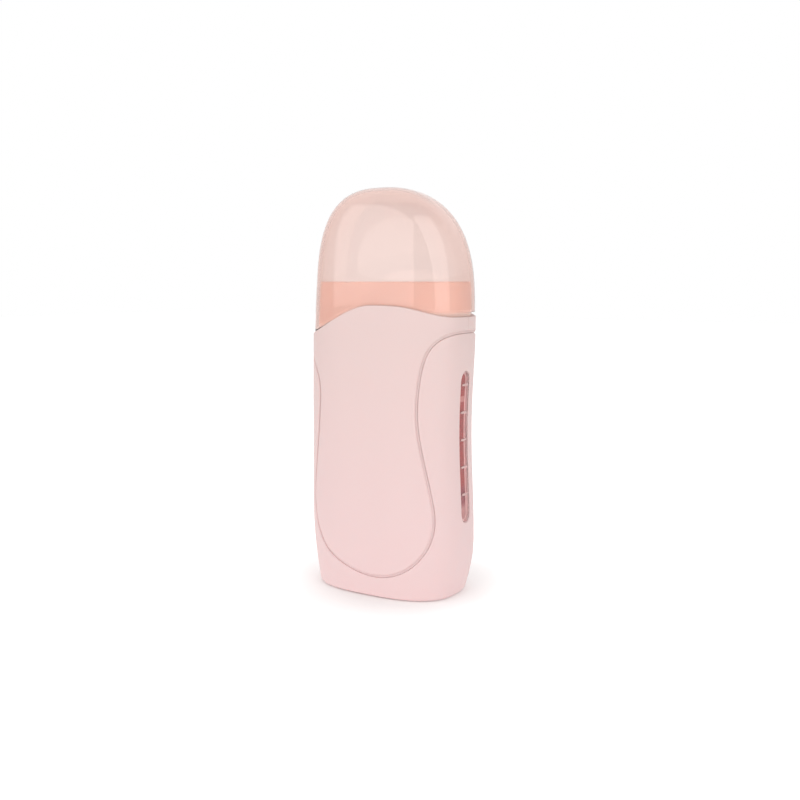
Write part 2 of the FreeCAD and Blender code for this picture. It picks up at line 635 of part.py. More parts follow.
def heater_plate():
    """Aluminium plate whose pad closes the opening of the well and lies against the cartridge."""
    face = WELL_BACK - WELL_WALL
    gap = PLATE_FIT
    pad = box((-PLATE_WIDTH / 2 + gap, face, PLATE_CENTRE - PLATE_HEIGHT / 2 + gap),
              (PLATE_WIDTH / 2 - gap, FLANGE_FACE, PLATE_CENTRE + PLATE_HEIGHT / 2 - gap))
    reach_x = PLATE_WIDTH / 2 + PLATE_MARGIN
    reach_z = PLATE_HEIGHT / 2 + PLATE_MARGIN
    flange = box((-reach_x, FLANGE_FACE - PLATE_FLANGE, PLATE_CENTRE - reach_z),
                 (reach_x, FLANGE_FACE, PLATE_CENTRE + reach_z))
    thread_end = FLANGE_FACE + min(STRAP_THICKNESS, CLAMP_THICKNESS) - SMALL_SCREW_LENGTH - FIT
    holes = [rod(SMALL_SCREW_RADIUS + SCREW_FIT, (x, thread_end, z), (x, REACH, z))
             for x, z in heater_screw_places()]
    return cut_all(pad.fuse(flange).removeSplitter(), holes)


def ptc_faces():
    """Depths of the layers behind the plate: film, electrode, chip, electrode and film."""
    faces = [FLANGE_FACE]
    for thickness in (FILM_THICKNESS, ELECTRODE_THICKNESS, PTC_THICKNESS, ELECTRODE_THICKNESS,
                      FILM_THICKNESS):
        faces.append(faces[-1] + thickness)
    return faces


def ptc_element():
    """Ceramic heating chip."""
    faces = ptc_faces()
    return box((-PTC_WIDTH / 2, faces[2], PLATE_CENTRE - PTC_HEIGHT / 2),
               (PTC_WIDTH / 2, faces[3], PLATE_CENTRE + PTC_HEIGHT / 2))


def ptc_electrodes():
    """Two contact sheets, one on each face of the chip, with a tab below and a tab above."""
    faces = ptc_faces()
    low, high = PLATE_CENTRE - PTC_HEIGHT / 2, PLATE_CENTRE + PTC_HEIGHT / 2
    half = PTC_WIDTH / 2
    front = box((-half, faces[1], low), (half, faces[2], high))
    front_tab = box((half - ELECTRODE_TAB, faces[1], high), (half, faces[2], high + ELECTRODE_TAB))
    rear = box((-half, faces[3], low), (half, faces[4], high))
    rear_tab = box((half - ELECTRODE_TAB, faces[3], low - ELECTRODE_TAB), (half, faces[4], low))
    return Part.makeCompound([front.fuse(front_tab).removeSplitter(), rear.fuse(rear_tab).removeSplitter()])


def ptc_insulation():
    """Sleeve of insulating film round the chip and its electrodes, open at the top and the bottom."""
    faces = ptc_faces()
    half = PTC_WIDTH / 2
    reach = PTC_HEIGHT / 2 + FILM_THICKNESS
    low, high = PLATE_CENTRE - reach, PLATE_CENTRE + reach
    outside = box((-half - FILM_THICKNESS, faces[0], low), (half + FILM_THICKNESS, faces[5], high))
    return outside.cut(box((-half, faces[1], low), (half, faces[4], high)))


def bridge(half_inside, rise, low, high, ears, thickness):
    """Sheet strap over a part on the heater plate, with an ear on each side that is asked for."""
    face = FLANGE_FACE
    outer = box((-half_inside - thickness, face, low),
                (half_inside + thickness, face + rise + thickness, high))
    strap = outer.cut(box((-half_inside, face, low), (half_inside, face + rise, high)))
    for side in ears:
        near, far = sorted((side * half_inside, side * (half_inside + thickness + CLAMP_EAR)))
        strap = strap.fuse(box((near, face, low), (far, face + thickness, high)))
    return strap.removeSplitter()


def ptc_clamp():
    """Spring steel bridge that presses the heating chip against the plate."""
    faces = ptc_faces()
    low, high = PLATE_CENTRE - CLAMP_HEIGHT / 2, PLATE_CENTRE + CLAMP_HEIGHT / 2
    clamp = bridge(PTC_WIDTH / 2 + 2 * FILM_THICKNESS, faces[5] - FLANGE_FACE, low, high,
                   (LEFT, RIGHT), CLAMP_THICKNESS)
    holes = [rod(SMALL_SCREW_RADIUS + SCREW_FIT, (x, FLANGE_FACE, z), (x, REACH, z))
             for x, z in heater_screw_places()[:2]]
    return cut_all(clamp, holes)


def thermostat():
    """Flat bimetal thermostat with a terminal at each end."""
    half = THERMOSTAT_WIDTH / 2
    low, high = THERMOSTAT_CENTRE - THERMOSTAT_HEIGHT / 2, THERMOSTAT_CENTRE + THERMOSTAT_HEIGHT / 2
    case = box((-half, FLANGE_FACE, low), (half, FLANGE_FACE + THERMOSTAT_THICKNESS, high))
    upright = [edge for edge in case.Edges if abs(edge.tangentAt(edge.FirstParameter).y) > 0.9]
    case = case.makeFillet(THERMOSTAT_CORNER, upright)
    lug_y = FLANGE_FACE + (THERMOSTAT_THICKNESS - LUG_THICKNESS) / 2
    lugs = [box((x - LUG_HALF_WIDTH, lug_y, high - FIT),
                (x + LUG_HALF_WIDTH, lug_y + LUG_THICKNESS, high + LUG_LENGTH))
            for x in (-half / 2, half / 2)]
    return fuse_all(case, lugs)


def sensor_straps():
    """Two straps: one over the thermostat and one over the thermal fuse, each with one screw."""
    low, high = THERMOSTAT_CENTRE - STRAP_HEIGHT / 2, THERMOSTAT_CENTRE + STRAP_HEIGHT / 2
    over_thermostat = bridge(THERMOSTAT_WIDTH / 2 + FIT, THERMOSTAT_THICKNESS, low, high,
                             (LEFT,), STRAP_THICKNESS)
    low, high = FUSE_CENTRE - STRAP_HEIGHT / 2, FUSE_CENTRE + STRAP_HEIGHT / 2
    over_fuse = bridge(FUSE_RADIUS + FIT, 2 * FUSE_RADIUS, low, high, (RIGHT,), STRAP_THICKNESS)
    over_fuse.translate(Vector(FUSE_X, 0, 0))
    straps = Part.makeCompound([over_thermostat, over_fuse])
    holes = [rod(SMALL_SCREW_RADIUS + SCREW_FIT, (x, FLANGE_FACE, z), (x, REACH, z))
             for x, z in heater_screw_places()[2:]]
    return cut_all(straps, holes)


def thermal_fuse():
    """One-shot thermal fuse: a small upright can with a stub at each end."""
    y = FLANGE_FACE + FUSE_RADIUS
    low, high = FUSE_CENTRE - FUSE_LENGTH / 2, FUSE_CENTRE + FUSE_LENGTH / 2
    can = rod(FUSE_RADIUS, (FUSE_X, y, low), (FUSE_X, y, high))
    return can.fuse(rod(STUB_RADIUS, (FUSE_X, y, low - STUB_LENGTH), (FUSE_X, y, high + STUB_LENGTH)))


def heater_screws():
    """Small pan-head screws that hold the clamp and the straps to the heater plate."""
    screws = []
    sheets = (CLAMP_THICKNESS, CLAMP_THICKNESS, STRAP_THICKNESS, STRAP_THICKNESS)
    for (x, z), sheet in zip(heater_screw_places(), sheets):
        seat = FLANGE_FACE + sheet
        top = seat + SMALL_HEAD_HEIGHT
        head = rod(SMALL_HEAD_RADIUS, (x, seat, z), (x, top, z))
        slot = box((x - REACH, top - SLOT_DEPTH, z - SLOT_HALF_WIDTH),
                   (x + REACH, REACH, z + SLOT_HALF_WIDTH))
        shank = rod(SMALL_SCREW_RADIUS, (x, seat - SMALL_SCREW_LENGTH, z), (x, seat, z))
        screws.append(head.cut(slot).fuse(shank))
    return Part.makeCompound(screws)


# ---------------------------------------------------------------- mains inlet
def inlet_mouth():
    """Depth of the inlet's outer face, just inside the rear cover's surface."""
    return body_half_depth(INLET_HEIGHT) - INLET_SUNK


def inlet_back():
    """Depth of the inlet's inner end."""
    return inlet_mouth() - INLET_RECESS - INLET_BACK


def inlet_space():
    """Room for the inlet's block, with a fit all round, out through the rear cover."""
    around = 2 * (INLET_WALL + FIT)
    back = inlet_back() - FIT
    return stadium_along_y(INLET_WIDTH + around, INLET_OPENING + around, INLET_HEIGHT, back, REACH)


def inlet_socket():
    """Two-pin appliance inlet: a recess for the plug in a solid block, with a wing on each side."""
    mouth, back = inlet_mouth(), inlet_back()
    wall = 2 * INLET_WALL
    block = stadium_along_y(INLET_WIDTH + wall, INLET_OPENING + wall, INLET_HEIGHT, back, mouth)
    wing_face = mouth - COVER_WALL - 2 * FIT
    reach = INLET_WIDTH / 2 + INLET_WALL + INLET_WING
    wings = box((-reach, wing_face - INLET_WING_THICKNESS, INLET_HEIGHT - INLET_OPENING / 3),
                (reach, wing_face, INLET_HEIGHT + INLET_OPENING / 3))
    recess = stadium_along_y(INLET_WIDTH, INLET_OPENING, INLET_HEIGHT, mouth - INLET_RECESS, REACH)
    holes = [rod(PIN_RADIUS, (x, 0, INLET_HEIGHT), (x, REACH, INLET_HEIGHT))
             for x in (-PIN_SPACING / 2, PIN_SPACING / 2)]
    return cut_all(block.fuse(wings), [recess] + holes)


def inlet_pins():
    """Two round contact pins with round tips, and tails for the leads."""
    pins = []
    for x in (-PIN_SPACING / 2, PIN_SPACING / 2):
        tip = inlet_mouth() - PIN_SUNK
        pin = rod(PIN_RADIUS, (x, inlet_back() - PIN_TAIL, INLET_HEIGHT), (x, tip, INLET_HEIGHT))
        rim = [edge for edge in pin.Edges if edge.BoundBox.YMin > tip - FIT]
        pins.append(pin.makeFillet(PIN_RADIUS / 2, rim))
    return Part.makeCompound(pins)


# ---------------------------------------------------------------- indicator
def indicator_board():
    """Small circuit board that stands between two ribs behind the foot of the window."""
    return box((BOARD_X, -BOARD_HALF_WIDTH, BOARD_LOW),
               (BOARD_X + BOARD_THICKNESS, BOARD_HALF_WIDTH, BOARD_HIGH))


def indicator_led():
    """Round lamp that shines through the foot of the window."""
    face = BOARD_X + BOARD_THICKNESS
    base = rod(LED_RADIUS + LED_FLANGE, (face, 0, LED_HEIGHT), (face + LED_RADIUS / 2, 0, LED_HEIGHT))
    stem = rod(LED_RADIUS, (face, 0, LED_HEIGHT), (face + LED_LENGTH - LED_RADIUS, 0, LED_HEIGHT))
    tip = Part.makeSphere(LED_RADIUS, Vector(face + LED_LENGTH - LED_RADIUS, 0, LED_HEIGHT))
    return fuse_all(base, [stem, tip])


def axial_part(radius, length, height):
    """Small component that lies on the board, with two wire legs down into it."""
    face = BOARD_X + BOARD_THICKNESS
    centre = face + radius
    wire = radius / 4
    leg_y = length / 2 + 2 * wire
    shape = rod(radius, (centre, -length / 2, height), (centre, length / 2, height))
    shape = shape.fuse(rod(wire, (centre, -leg_y - wire, height), (centre, leg_y + wire, height)))
    legs = [rod(wire, (face, y, height), (centre, y, height)) for y in (-leg_y, leg_y)]
    return fuse_all(shape, legs)


# ---------------------------------------------------------------- leads
def upper_lead_y():
    """Depth of the leads that run up behind the well."""
    return FLANGE_FACE + FUSE_RADIUS


def under_well_height():
    """Height of the leads between the inlet and the underside of the well."""
    return (INLET_HEIGHT + INLET_OPENING / 2 + INLET_WALL + WELL_UNDERSIDE) / 2


def from_pin(x):
    """First stretch of a mains lead: out of a pin's tail, up and back under the well."""
    tail = inlet_back() - PIN_TAIL
    turn = tail - 2 * LEAD_BEND
    return [(x, tail, INLET_HEIGHT), (x, turn, INLET_HEIGHT), (x, turn, under_well_height()),
            (x, upper_lead_y(), under_well_height())]


def live_lead():
    """From the left inlet pin to the lower end of the thermal fuse."""
    x = -PIN_SPACING / 2
    turn = under_well_height() + 3 * LEAD_BEND
    route = from_pin(x) + [(x, upper_lead_y(), turn), (FUSE_X, upper_lead_y(), turn),
                           (FUSE_X, upper_lead_y(), FUSE_CENTRE - FUSE_LENGTH / 2 - STUB_LENGTH)]
    return lead(route, LEAD_RADIUS)


def neutral_lead():
    """From the right inlet pin to the tab of the rear electrode."""
    x = PIN_SPACING / 2
    tab = PTC_WIDTH / 2 - ELECTRODE_TAB / 2
    y = ptc_faces()[3] - LEAD_RADIUS
    turn = under_well_height() + 3 * LEAD_BEND
    end = PLATE_CENTRE - PTC_HEIGHT / 2 - ELECTRODE_TAB + TAB_LAP
    aside = tab + 3 * LEAD_BEND
    route = from_pin(x) + [(x, upper_lead_y(), turn), (aside, y, turn), (aside, y, end - 3 * LEAD_BEND),
                           (tab, y, end - 2 * LEAD_BEND), (tab, y, end)]
    return lead(route, LEAD_RADIUS)


def fuse_lead():
    """From the upper end of the fuse to the left terminal of the thermostat."""
    y = upper_lead_y()
    terminal = -THERMOSTAT_WIDTH / 4
    top = THERMOSTAT_CENTRE + THERMOSTAT_HEIGHT / 2 + LUG_LENGTH
    over = top + 2 * LEAD_BEND
    outside = -THERMOSTAT_WIDTH / 2 - CLAMP_EAR - FUSE_LEAD_CLEAR
    start = FUSE_CENTRE + FUSE_LENGTH / 2 + STUB_LENGTH
    route = [(FUSE_X, y, start), (FUSE_X, y, start + FUSE_LEAD_STRAIGHT),
             (outside, y, FUSE_CENTRE + FUSE_LENGTH), (outside, y, over),
             (terminal, y, over), (terminal, y, top)]
    return lead(route, LEAD_RADIUS)


def thermostat_lead():
    """From the right terminal of the thermostat to the tab of the front electrode."""
    y = upper_lead_y()
    terminal = THERMOSTAT_WIDTH / 4
    top = THERMOSTAT_CENTRE + THERMOSTAT_HEIGHT / 2 + LUG_LENGTH
    over = top + 2 * LEAD_BEND
    outside = THERMOSTAT_WIDTH / 2 + THERMOSTAT_LEAD_CLEAR
    tab = PTC_WIDTH / 2 - ELECTRODE_TAB / 2
    tab_y = ptc_faces()[2] + LEAD_RADIUS
    end = PLATE_CENTRE + PTC_HEIGHT / 2 + ELECTRODE_TAB - TAB_LAP
    route = [(terminal, y, top), (terminal, y, over), (outside, y, over),
             (outside, tab_y, end + 5 * LEAD_BEND), (tab, tab_y, end + 2 * LEAD_BEND), (tab, tab_y, end)]
    return lead(route, LEAD_RADIUS)


def indicator_leads():
    """Two thin leads: from the board over the screw bosses to the tails of the inlet pins."""
    leads = []
    start_x = BOARD_X - THIN_LEAD_RADIUS
    start_z = BOARD_LOW + THIN_LEAD_RISE
    over = (LOWER_SCREW_HEIGHT + BOSS_RADIUS + WELL_UNDERSIDE) / 2
    end_y = inlet_back() - PIN_TAIL / 2
    for side, pass_y in ((LEFT, inlet_back() - PIN_TAIL - 4 * LEAD_BEND), (RIGHT, THIN_LEAD_Y)):
        start_y = side * THIN_LEAD_Y
        end_x = side * (PIN_SPACING / 2 + PIN_RADIUS + FIT)
        turn_x = side * (PIN_SPACING / 2 + THIN_LEAD_CLEAR)
        route = [(start_x, start_y, start_z), (start_x, start_y, over), (turn_x, pass_y, over),
                 (turn_x, end_y, over), (end_x + side * FIT, end_y, INLET_HEIGHT + 2 * THIN_LEAD_RADIUS)]
        leads.append(lead(route, THIN_LEAD_RADIUS))
    return Part.makeCompound(leads)


# ---------------------------------------------------------------- screws and feet
def cover_screws():
    """Four cross-head screws that draw the covers together through the frame."""
    screws = []
    for x, z in CROSS_SCREWS:
        top = SCREW_SEAT_Y + SCREW_HEAD_HEIGHT
        head = rod(SCREW_HEAD_RADIUS, (x, SCREW_SEAT_Y, z), (x, top, z))
        rim = [edge for edge in head.Edges if edge.BoundBox.YMin > top - FIT]
        head = head.makeFillet(HEAD_EDGE_RADIUS, rim)
        for half_x, half_z in ((CROSS_ARM, CROSS_HALF_WIDTH), (CROSS_HALF_WIDTH, CROSS_ARM)):
            head = head.cut(box((x - half_x, top - CROSS_DEPTH, z - half_z), (x + half_x, REACH, z + half_z)))
        shank = rod(SCREW_RADIUS, (x, SCREW_SEAT_Y - SCREW_LENGTH, z), (x, SCREW_SEAT_Y, z))
        screws.append(head.fuse(shank))
    return Part.makeCompound(screws)


def rubber_feet():
    """Four round feet pressed into the underside of the frame."""
    feet = []
    for x in (-FOOT_X, FOOT_X):
        for y in (-FOOT_Y, FOOT_Y):
            foot = rod(FOOT_RADIUS, (x, y, 0), (x, y, UNDERSIDE + FOOT_SUNK))
            rim = [edge for edge in foot.Edges if edge.BoundBox.ZMax < FIT]
            feet.append(foot.makeFillet(FOOT_PROUD / 2, rim))
    return Part.makeCompound(feet)


# ---------------------------------------------------------------- all pieces
form = body_form(0)
under_edge = [edge for edge in form.Edges if edge.BoundBox.ZMax < UNDERSIDE + FIT]
form = form.makeFillet(BASE_EDGE_RADIUS, under_edge)

save("side_frame", side_frame(form))
save("front_cover", front_cover(form))
save("rear_cover", rear_cover(form))
save("mouth_collar", mouth_collar())
save("lid", lid())
save("window_lens", window_lens())
save("cartridge_well", cartridge_well())
save("heater_plate", heater_plate())
save("ptc_element", ptc_element())
save("ptc_electrodes", ptc_electrodes())
save("ptc_insulation", ptc_insulation())
save("ptc_clamp", ptc_clamp())
save("thermostat", thermostat())
save("thermal_fuse", thermal_fuse())
save("sensor_straps", sensor_straps())
save("heater_screws", heater_screws())
save("inlet_socket", inlet_socket())
save("inlet_pins", inlet_pins())
save("indicator_board", indicator_board())
save("indicator_led", indicator_led())
save("dropper_resistor", axial_part(RESISTOR_RADIUS, RESISTOR_LENGTH, RESISTOR_HEIGHT))
save("board_diode", axial_part(DIODE_RADIUS, DIODE_LENGTH, DIODE_HEIGHT))
save("live_lead", live_lead())
save("neutral_lead", neutral_lead())
save("fuse_lead", fuse_lead())
save("thermostat_lead", thermostat_lead())
save("indicator_leads", indicator_leads())
save("cover_screws", cover_screws())
save("rubber_feet", rubber_feet())
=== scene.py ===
import math

import bmesh
import bpy
import numpy as np
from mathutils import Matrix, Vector


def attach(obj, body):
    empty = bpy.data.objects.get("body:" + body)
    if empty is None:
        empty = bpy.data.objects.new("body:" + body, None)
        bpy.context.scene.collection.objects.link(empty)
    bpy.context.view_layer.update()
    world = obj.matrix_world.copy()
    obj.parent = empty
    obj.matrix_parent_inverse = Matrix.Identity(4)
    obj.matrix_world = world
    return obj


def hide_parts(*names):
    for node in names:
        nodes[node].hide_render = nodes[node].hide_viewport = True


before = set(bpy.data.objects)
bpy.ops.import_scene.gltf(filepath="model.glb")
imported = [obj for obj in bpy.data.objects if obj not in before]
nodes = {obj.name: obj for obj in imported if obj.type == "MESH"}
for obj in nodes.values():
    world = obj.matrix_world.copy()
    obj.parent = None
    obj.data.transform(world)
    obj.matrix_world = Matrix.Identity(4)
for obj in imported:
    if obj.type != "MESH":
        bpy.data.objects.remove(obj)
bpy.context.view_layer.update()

# A roll-on wax heater, dressed piece by piece round its packed construction. Sizes are in
# millimetres in the part's own frame: +Z up, -Y the front panel, +X the end with the level window.
MM = 0.001  # a millimetre in metres
MICRON = 0.000001  # and a thousandth of one


# ==== table, light and camera
# The heater stands on a pale table in an even white room. The table's glow to the camera fades near
# the heater as painted shade round its foot. One broad soft lamp lights it from the front left, and a
# narrow one from the right gives its shoulder an edge. Sizes are in metres.
TABLE_HALF = 3.0
TABLE_COLOUR = (0.86, 0.8471, 0.8428, 1)
WHITE = (1, 1, 1, 1)
TABLE_LIFT = 0.6  # light that the white table seems to give off where it is seen
TABLE_LIFT_PAINTED_SHADE = 0.0  # the same under the foot of the heater, less there as painted shade
NEAR, FAR = 0.022, 0.085  # distances from the middle, between which it changes from the painted shade to the full lift
TABLE_GLOW = 0.25  # light that it gives to the heater from below
ROOM_LEVEL = 0.42
BACKDROP_TURN, BACKDROP_RISE = 210.6, 35.0  # degrees from the front and above level to its middle
BACKDROP_EDGE = (0.46, 0.82)  # cosines of the angle off its middle, between which it fades to white
TARGET = Vector((0.0, 0.0, 0.15))  # what the lamps face

scene = bpy.context.scene
scene.view_settings.view_transform = "Standard"


def add_object(name, data):
    """Object with that data, linked to the scene."""
    made = bpy.data.objects.new(name, data)
    scene.collection.objects.link(made)
    return made


def put(value, socket):
    """Links a node's output to a socket, or gives the socket a plain value."""
    if isinstance(value, bpy.types.NodeSocket):
        socket.id_data.links.new(value, socket)
    else:
        socket.default_value = value


def fill(node, **values):
    """Gives a node its inputs and settings by name, with _ for a space."""
    for name, value in values.items():
        socket = node.inputs.get(name.replace("_", " "))
        if socket is None:
            setattr(node, name, value)
        else:
            put(value, socket)


def add_node(home, kind, *inputs, **values):
    """Shader node in the tree of its home, a socket, a node or the tree itself. Its first inputs
    come in order, other inputs and settings by name."""
    made = home.id_data.nodes.new("ShaderNode" + kind)
    fill(made, **values)
    for value, socket in zip(inputs, made.inputs):
        put(value, socket)
    return made


def computed(operation, *values):
    """Outcome of a calculation with values, the first of them a link."""
    return add_node(values[0], "Math", *values, operation=operation).outputs[0]


def empty_tree(owner):
    """Node tree of a material or a world, with nothing in it."""
    owner.use_nodes = True
    owner.node_tree.nodes.clear()
    return owner.node_tree


def when_seen(tree, otherwise, level):
    """Level for rays that come from the camera straight or through something clear."""
    rays = add_node(tree, "LightPath").outputs
    straight = computed("MAXIMUM", rays["Is Camera Ray"], rays["Is Transmission Ray"])
    return add_node(tree, "MapRange", straight, To_Min=otherwise, To_Max=level).outputs[0]


def table_material():
    """White board that shows as white to the camera, with the heater's shadow still on it and painted shade
    round its foot.
    """
    material = bpy.data.materials.new("white_table")
    tree = empty_tree(material)
    board = add_node(tree, "BsdfDiffuse", Color=TABLE_COLOUR)
    # The lift fades out towards the heater: painted shade round its foot, on top of its real shadow.
    away = add_node(tree, "VectorMath", add_node(tree, "TexCoord").outputs["Object"], operation="LENGTH")
    lift = add_node(tree, "MapRange", away.outputs["Value"], From_Min=NEAR, From_Max=FAR,
                    To_Min=TABLE_LIFT_PAINTED_SHADE, To_Max=TABLE_LIFT)
    glow = add_node(tree, "Emission", Color=WHITE, Strength=when_seen(tree, TABLE_GLOW, lift.outputs[0]))
    both = add_node(tree, "AddShader", board.outputs[0], glow.outputs[0])
    add_node(tree, "OutputMaterial", Surface=both.outputs[0])
    return material


def direction(turn, rise):
    """Way out from the heater, so many degrees to the right of the front and above level."""
    turn, rise = math.radians(turn), math.radians(rise)
    return Vector((math.sin(turn) * math.cos(rise), -math.cos(turn) * math.cos(rise), math.sin(rise)))


def white_room():
    """Even surroundings with a white backdrop behind the heater: plain white where a ray meets them
    straight, softer as a light."""
    world = bpy.data.worlds.new("white_room")
    scene.world = world
    tree = empty_tree(world)
    towards = add_node(tree, "VectorMath", add_node(tree, "TexCoord").outputs["Generated"],
                       direction(BACKDROP_TURN, BACKDROP_RISE), operation="DOT_PRODUCT")
    lit = add_node(tree, "MapRange", towards.outputs["Value"], *BACKDROP_EDGE, ROOM_LEVEL, 1.0)
    back = add_node(tree, "Background", Color=WHITE, Strength=when_seen(tree, lit.outputs[0], 1.0))
    add_node(tree, "OutputWorld", Surface=back.outputs[0])


def soft_lamp(name, turn, rise, distance, width, height, watts):
    """Rectangular lamp facing the heater, so many degrees to the right of the front and above level."""
    lamp = bpy.data.lights.new(name, "AREA")
    lamp.shape = "RECTANGLE"
    lamp.size, lamp.size_y = width, height
    lamp.energy = watts
    holder = add_object(name, lamp)
    away = direction(turn, rise)
    holder.location = TARGET + away * distance
    holder.rotation_euler = (-away).to_track_quat("-Z", "Y").to_euler()


table_mesh = bpy.data.meshes.new("table")
corners = [(x * TABLE_HALF, y * TABLE_HALF, 0) for x, y in ((-1, -1), (1, -1), (1, 1), (-1, 1))]
table_mesh.from_pydata(corners, [], [(0, 1, 2, 3)])
table = add_object("table", table_mesh)
table_mesh.materials.append(table_material())
white_room()
soft_lamp("broad_lamp", turn=-26.0, rise=28.0, distance=1.3, width=1.75, height=1.5, watts=9.2)
soft_lamp("side_lamp", turn=67.0, rise=30.0, distance=1.0, width=0.95, height=1.4, watts=5.3)

CAMERA_PLACE = (0.22296, -0.37700, 0.1425)
CAMERA_TURN = 30.6  # degrees to the right of the front
CAMERA_DROP = 7.13  # degrees below level
CAMERA_LENS = 42.6
CAMERA_SHIFT = 0.00975

camera = add_object("camera", bpy.data.cameras.new("camera"))
camera.location = CAMERA_PLACE
camera.rotation_euler = (math.radians(90 - CAMERA_DROP), 0, math.radians(CAMERA_TURN))
camera.data.lens = CAMERA_LENS
camera.data.shift_x = CAMERA_SHIFT
scene.camera = camera


# ==== casing plastic
# The casing is moulded in pale pink ABS with a satin finish: an even colour, painted paler and pinker
# towards the base as light from the table below, a very fine spark texture and faint flow marks from the
# mould.
# The base colour is paler than the top one: painted light from the table below.
CASING_TOP = (0.722, 0.556, 0.533)
CASING_LIT_BASE = (0.806, 0.596, 0.592)
CASING_ROUGHNESS = 0.42
PAINTED_LIGHT_RISE = 0.12  # metres from the base over which one colour turns into the other, the painted light from below fading out
SCATTER_RATIOS, SCATTER_REACH = (1.0, 0.45, 0.4), 0.0012  # how far light goes in it, in metres


def scaled(colour, factor=1.0):
    """Colour times a factor, with alpha."""
    return tuple(channel * factor for channel in colour) + (1.0,)


def start_material(name):
    """New material, its main shader and its object coordinates."""
    material = bpy.data.materials.new(name)
    material.use_nodes = True
    shader = material.node_tree.nodes["Principled BSDF"]
    return material, shader, add_node(shader, "TexCoord").outputs["Object"]


def measure(place, axis):
    """X, Y or Z of a place."""
    return add_node(place, "SeparateXYZ", place).outputs[axis]


def noise(place, scale, detail=2.0, rough=0.5, stretch=(1, 1, 1)):
    """Noise value over the piece, with so many features to the metre."""
    spread = add_node(place, "Mapping", place, Scale=stretch).outputs[0]
    return add_node(place, "TexNoise", spread, Scale=scale, Detail=detail, Roughness=rough).outputs[0]


def ranged(value, low, high, start=0.3, end=0.7):
    """Value spread from the range start to end over the range low to high."""
    return add_node(value, "MapRange", value, start, end, low, high).outputs[0]


def blended(factor, first, second):
    """Colour between two colours."""
    mix = add_node(factor, "Mix", factor, data_type="RGBA")
    put(first, mix.inputs[6])
    put(second, mix.inputs[7])
    return mix.outputs[2]


def mottled(value, colour, low, high):
    """Colour that goes from one factor of itself to another with a noise value."""
    return blended(ranged(value, 0.0, 1.0), scaled(colour, low), scaled(colour, high))


def finish(shader, colour, roughness, heights, **more):
    """Gives the shader its colour, its roughness and other inputs by name, and fine relief from
    several heights, each with its depth in thousandths of a millimetre."""
    relief = {}
    for height, depth in heights:
        bump = add_node(shader, "Bump", Height=height, Distance=depth * MICRON, Strength=1.0, **relief)
        relief = {"Normal": bump.outputs[0]}
    fill(shader, Base_Color=colour, Roughness=roughness, **relief, **more)


def satin_casing():
    """Satin ABS: colour by height, painted paler at the base as light from below, slow mottling, spark
    texture.
    """
    material, shader, place = start_material("satin_casing")
    rise = ranged(measure(place, "Z"), 0.0, 1.0, 0.0, PAINTED_LIGHT_RISE)
    lit_by_height = blended(rise, scaled(CASING_LIT_BASE), scaled(CASING_TOP))
    flow = noise(place, 30.0, detail=3.0, stretch=(1.0, 1.0, 0.35))
    colour = blended(ranged(flow, 0.0, 0.06), lit_by_height, scaled(CASING_LIT_BASE, 0.86))
    spark = noise(place, 2600.0)
    patch = noise(place, 60.0)
    worn = computed("ADD", ranged(spark, -0.04, 0.04),
                    ranged(patch, CASING_ROUGHNESS - 0.03, CASING_ROUGHNESS + 0.03))
    finish(shader, colour, worn, ((flow, 20), (spark, 3.5)), IOR=1.5,
           Subsurface_Weight=0.12, Subsurface_Radius=SCATTER_RATIOS, Subsurface_Scale=SCATTER_REACH)
    return material


casing = satin_casing()


# ==== form of the body
# All three casing parts lie on one waisted form. A place on it is a lap, the distance round from
# the middle of the front towards the window, and a height.
LEFT, RIGHT = -1, 1
SQUARENESS = 2.75
BELLY_HALF_DEPTH = 24.0
BASE_HALF_WIDTH, BASE_HALF_DEPTH = 34.9, 23.0
UNDERSIDE = 0.5
BELLY_HEIGHT, BELLY_HALF = {LEFT: 37.0, RIGHT: 24.0}, {LEFT: 38.85, RIGHT: 39.25}
WAIST_HEIGHT, WAIST_HALF = 78.0, {LEFT: 38.4, RIGHT: 37.5}
SHOULDER_HEIGHT, SHOULDER_HALF = 124.0, {LEFT: 37.9, RIGHT: 39.05}
WALL = 1.8
RING_POINTS = 2881  # to measure laps on


def even(count):
    """From 0 to 1 in so many even steps."""
    return np.linspace(0, 1, count + 1)


def half_cosine(low, high, share):
    """From low to high along half a cosine wave as share goes from 0 to 1."""
    return low + (high - low) * (1 - np.cos(np.pi * np.clip(share, 0, 1))) / 2


def half_width(height, side):
    """Sine from the base out to the belly, then half cosines in to the waist and out to the shoulder."""
    belly = BELLY_HEIGHT[side]
    rise = np.clip((height - UNDERSIDE) / (belly - UNDERSIDE), 0, 1)
    low = BASE_HALF_WIDTH + (BELLY_HALF[side] - BASE_HALF_WIDTH) * np.sin(np.pi / 2 * rise)
    middle = half_cosine(BELLY_HALF[side], WAIST_HALF[side], (height - belly) / (WAIST_HEIGHT - belly))
    high = half_cosine(WAIST_HALF[side], SHOULDER_HALF[side],
                       (height - WAIST_HEIGHT) / (SHOULDER_HEIGHT - WAIST_HEIGHT))
    return np.where(height < belly, low, np.where(height < WAIST_HEIGHT, middle, high))


def half_depth(height):
    """Sine from the base out to the belly, and even above it."""
    rise = np.clip((height - UNDERSIDE) / (BELLY_HEIGHT[RIGHT] - UNDERSIDE), 0, 1)
    return BASE_HALF_DEPTH + (BELLY_HALF_DEPTH - BASE_HALF_DEPTH) * np.sin(np.pi / 2 * rise)


def width_at(x, height):
    """Half width at that height on the side where x is."""
    return np.where(x < 0, half_width(height, LEFT), half_width(height, RIGHT))


def plan_ring(turn):
    """Superellipse of half size 1: a circle pushed out until the powers of X and Y add up to 1."""
    across, along = np.cos(turn), np.sin(turn)
    reach = (np.abs(across) ** SQUARENESS + np.abs(along) ** SQUARENESS) ** (-1 / SQUARENESS)
    return across * reach, along * reach


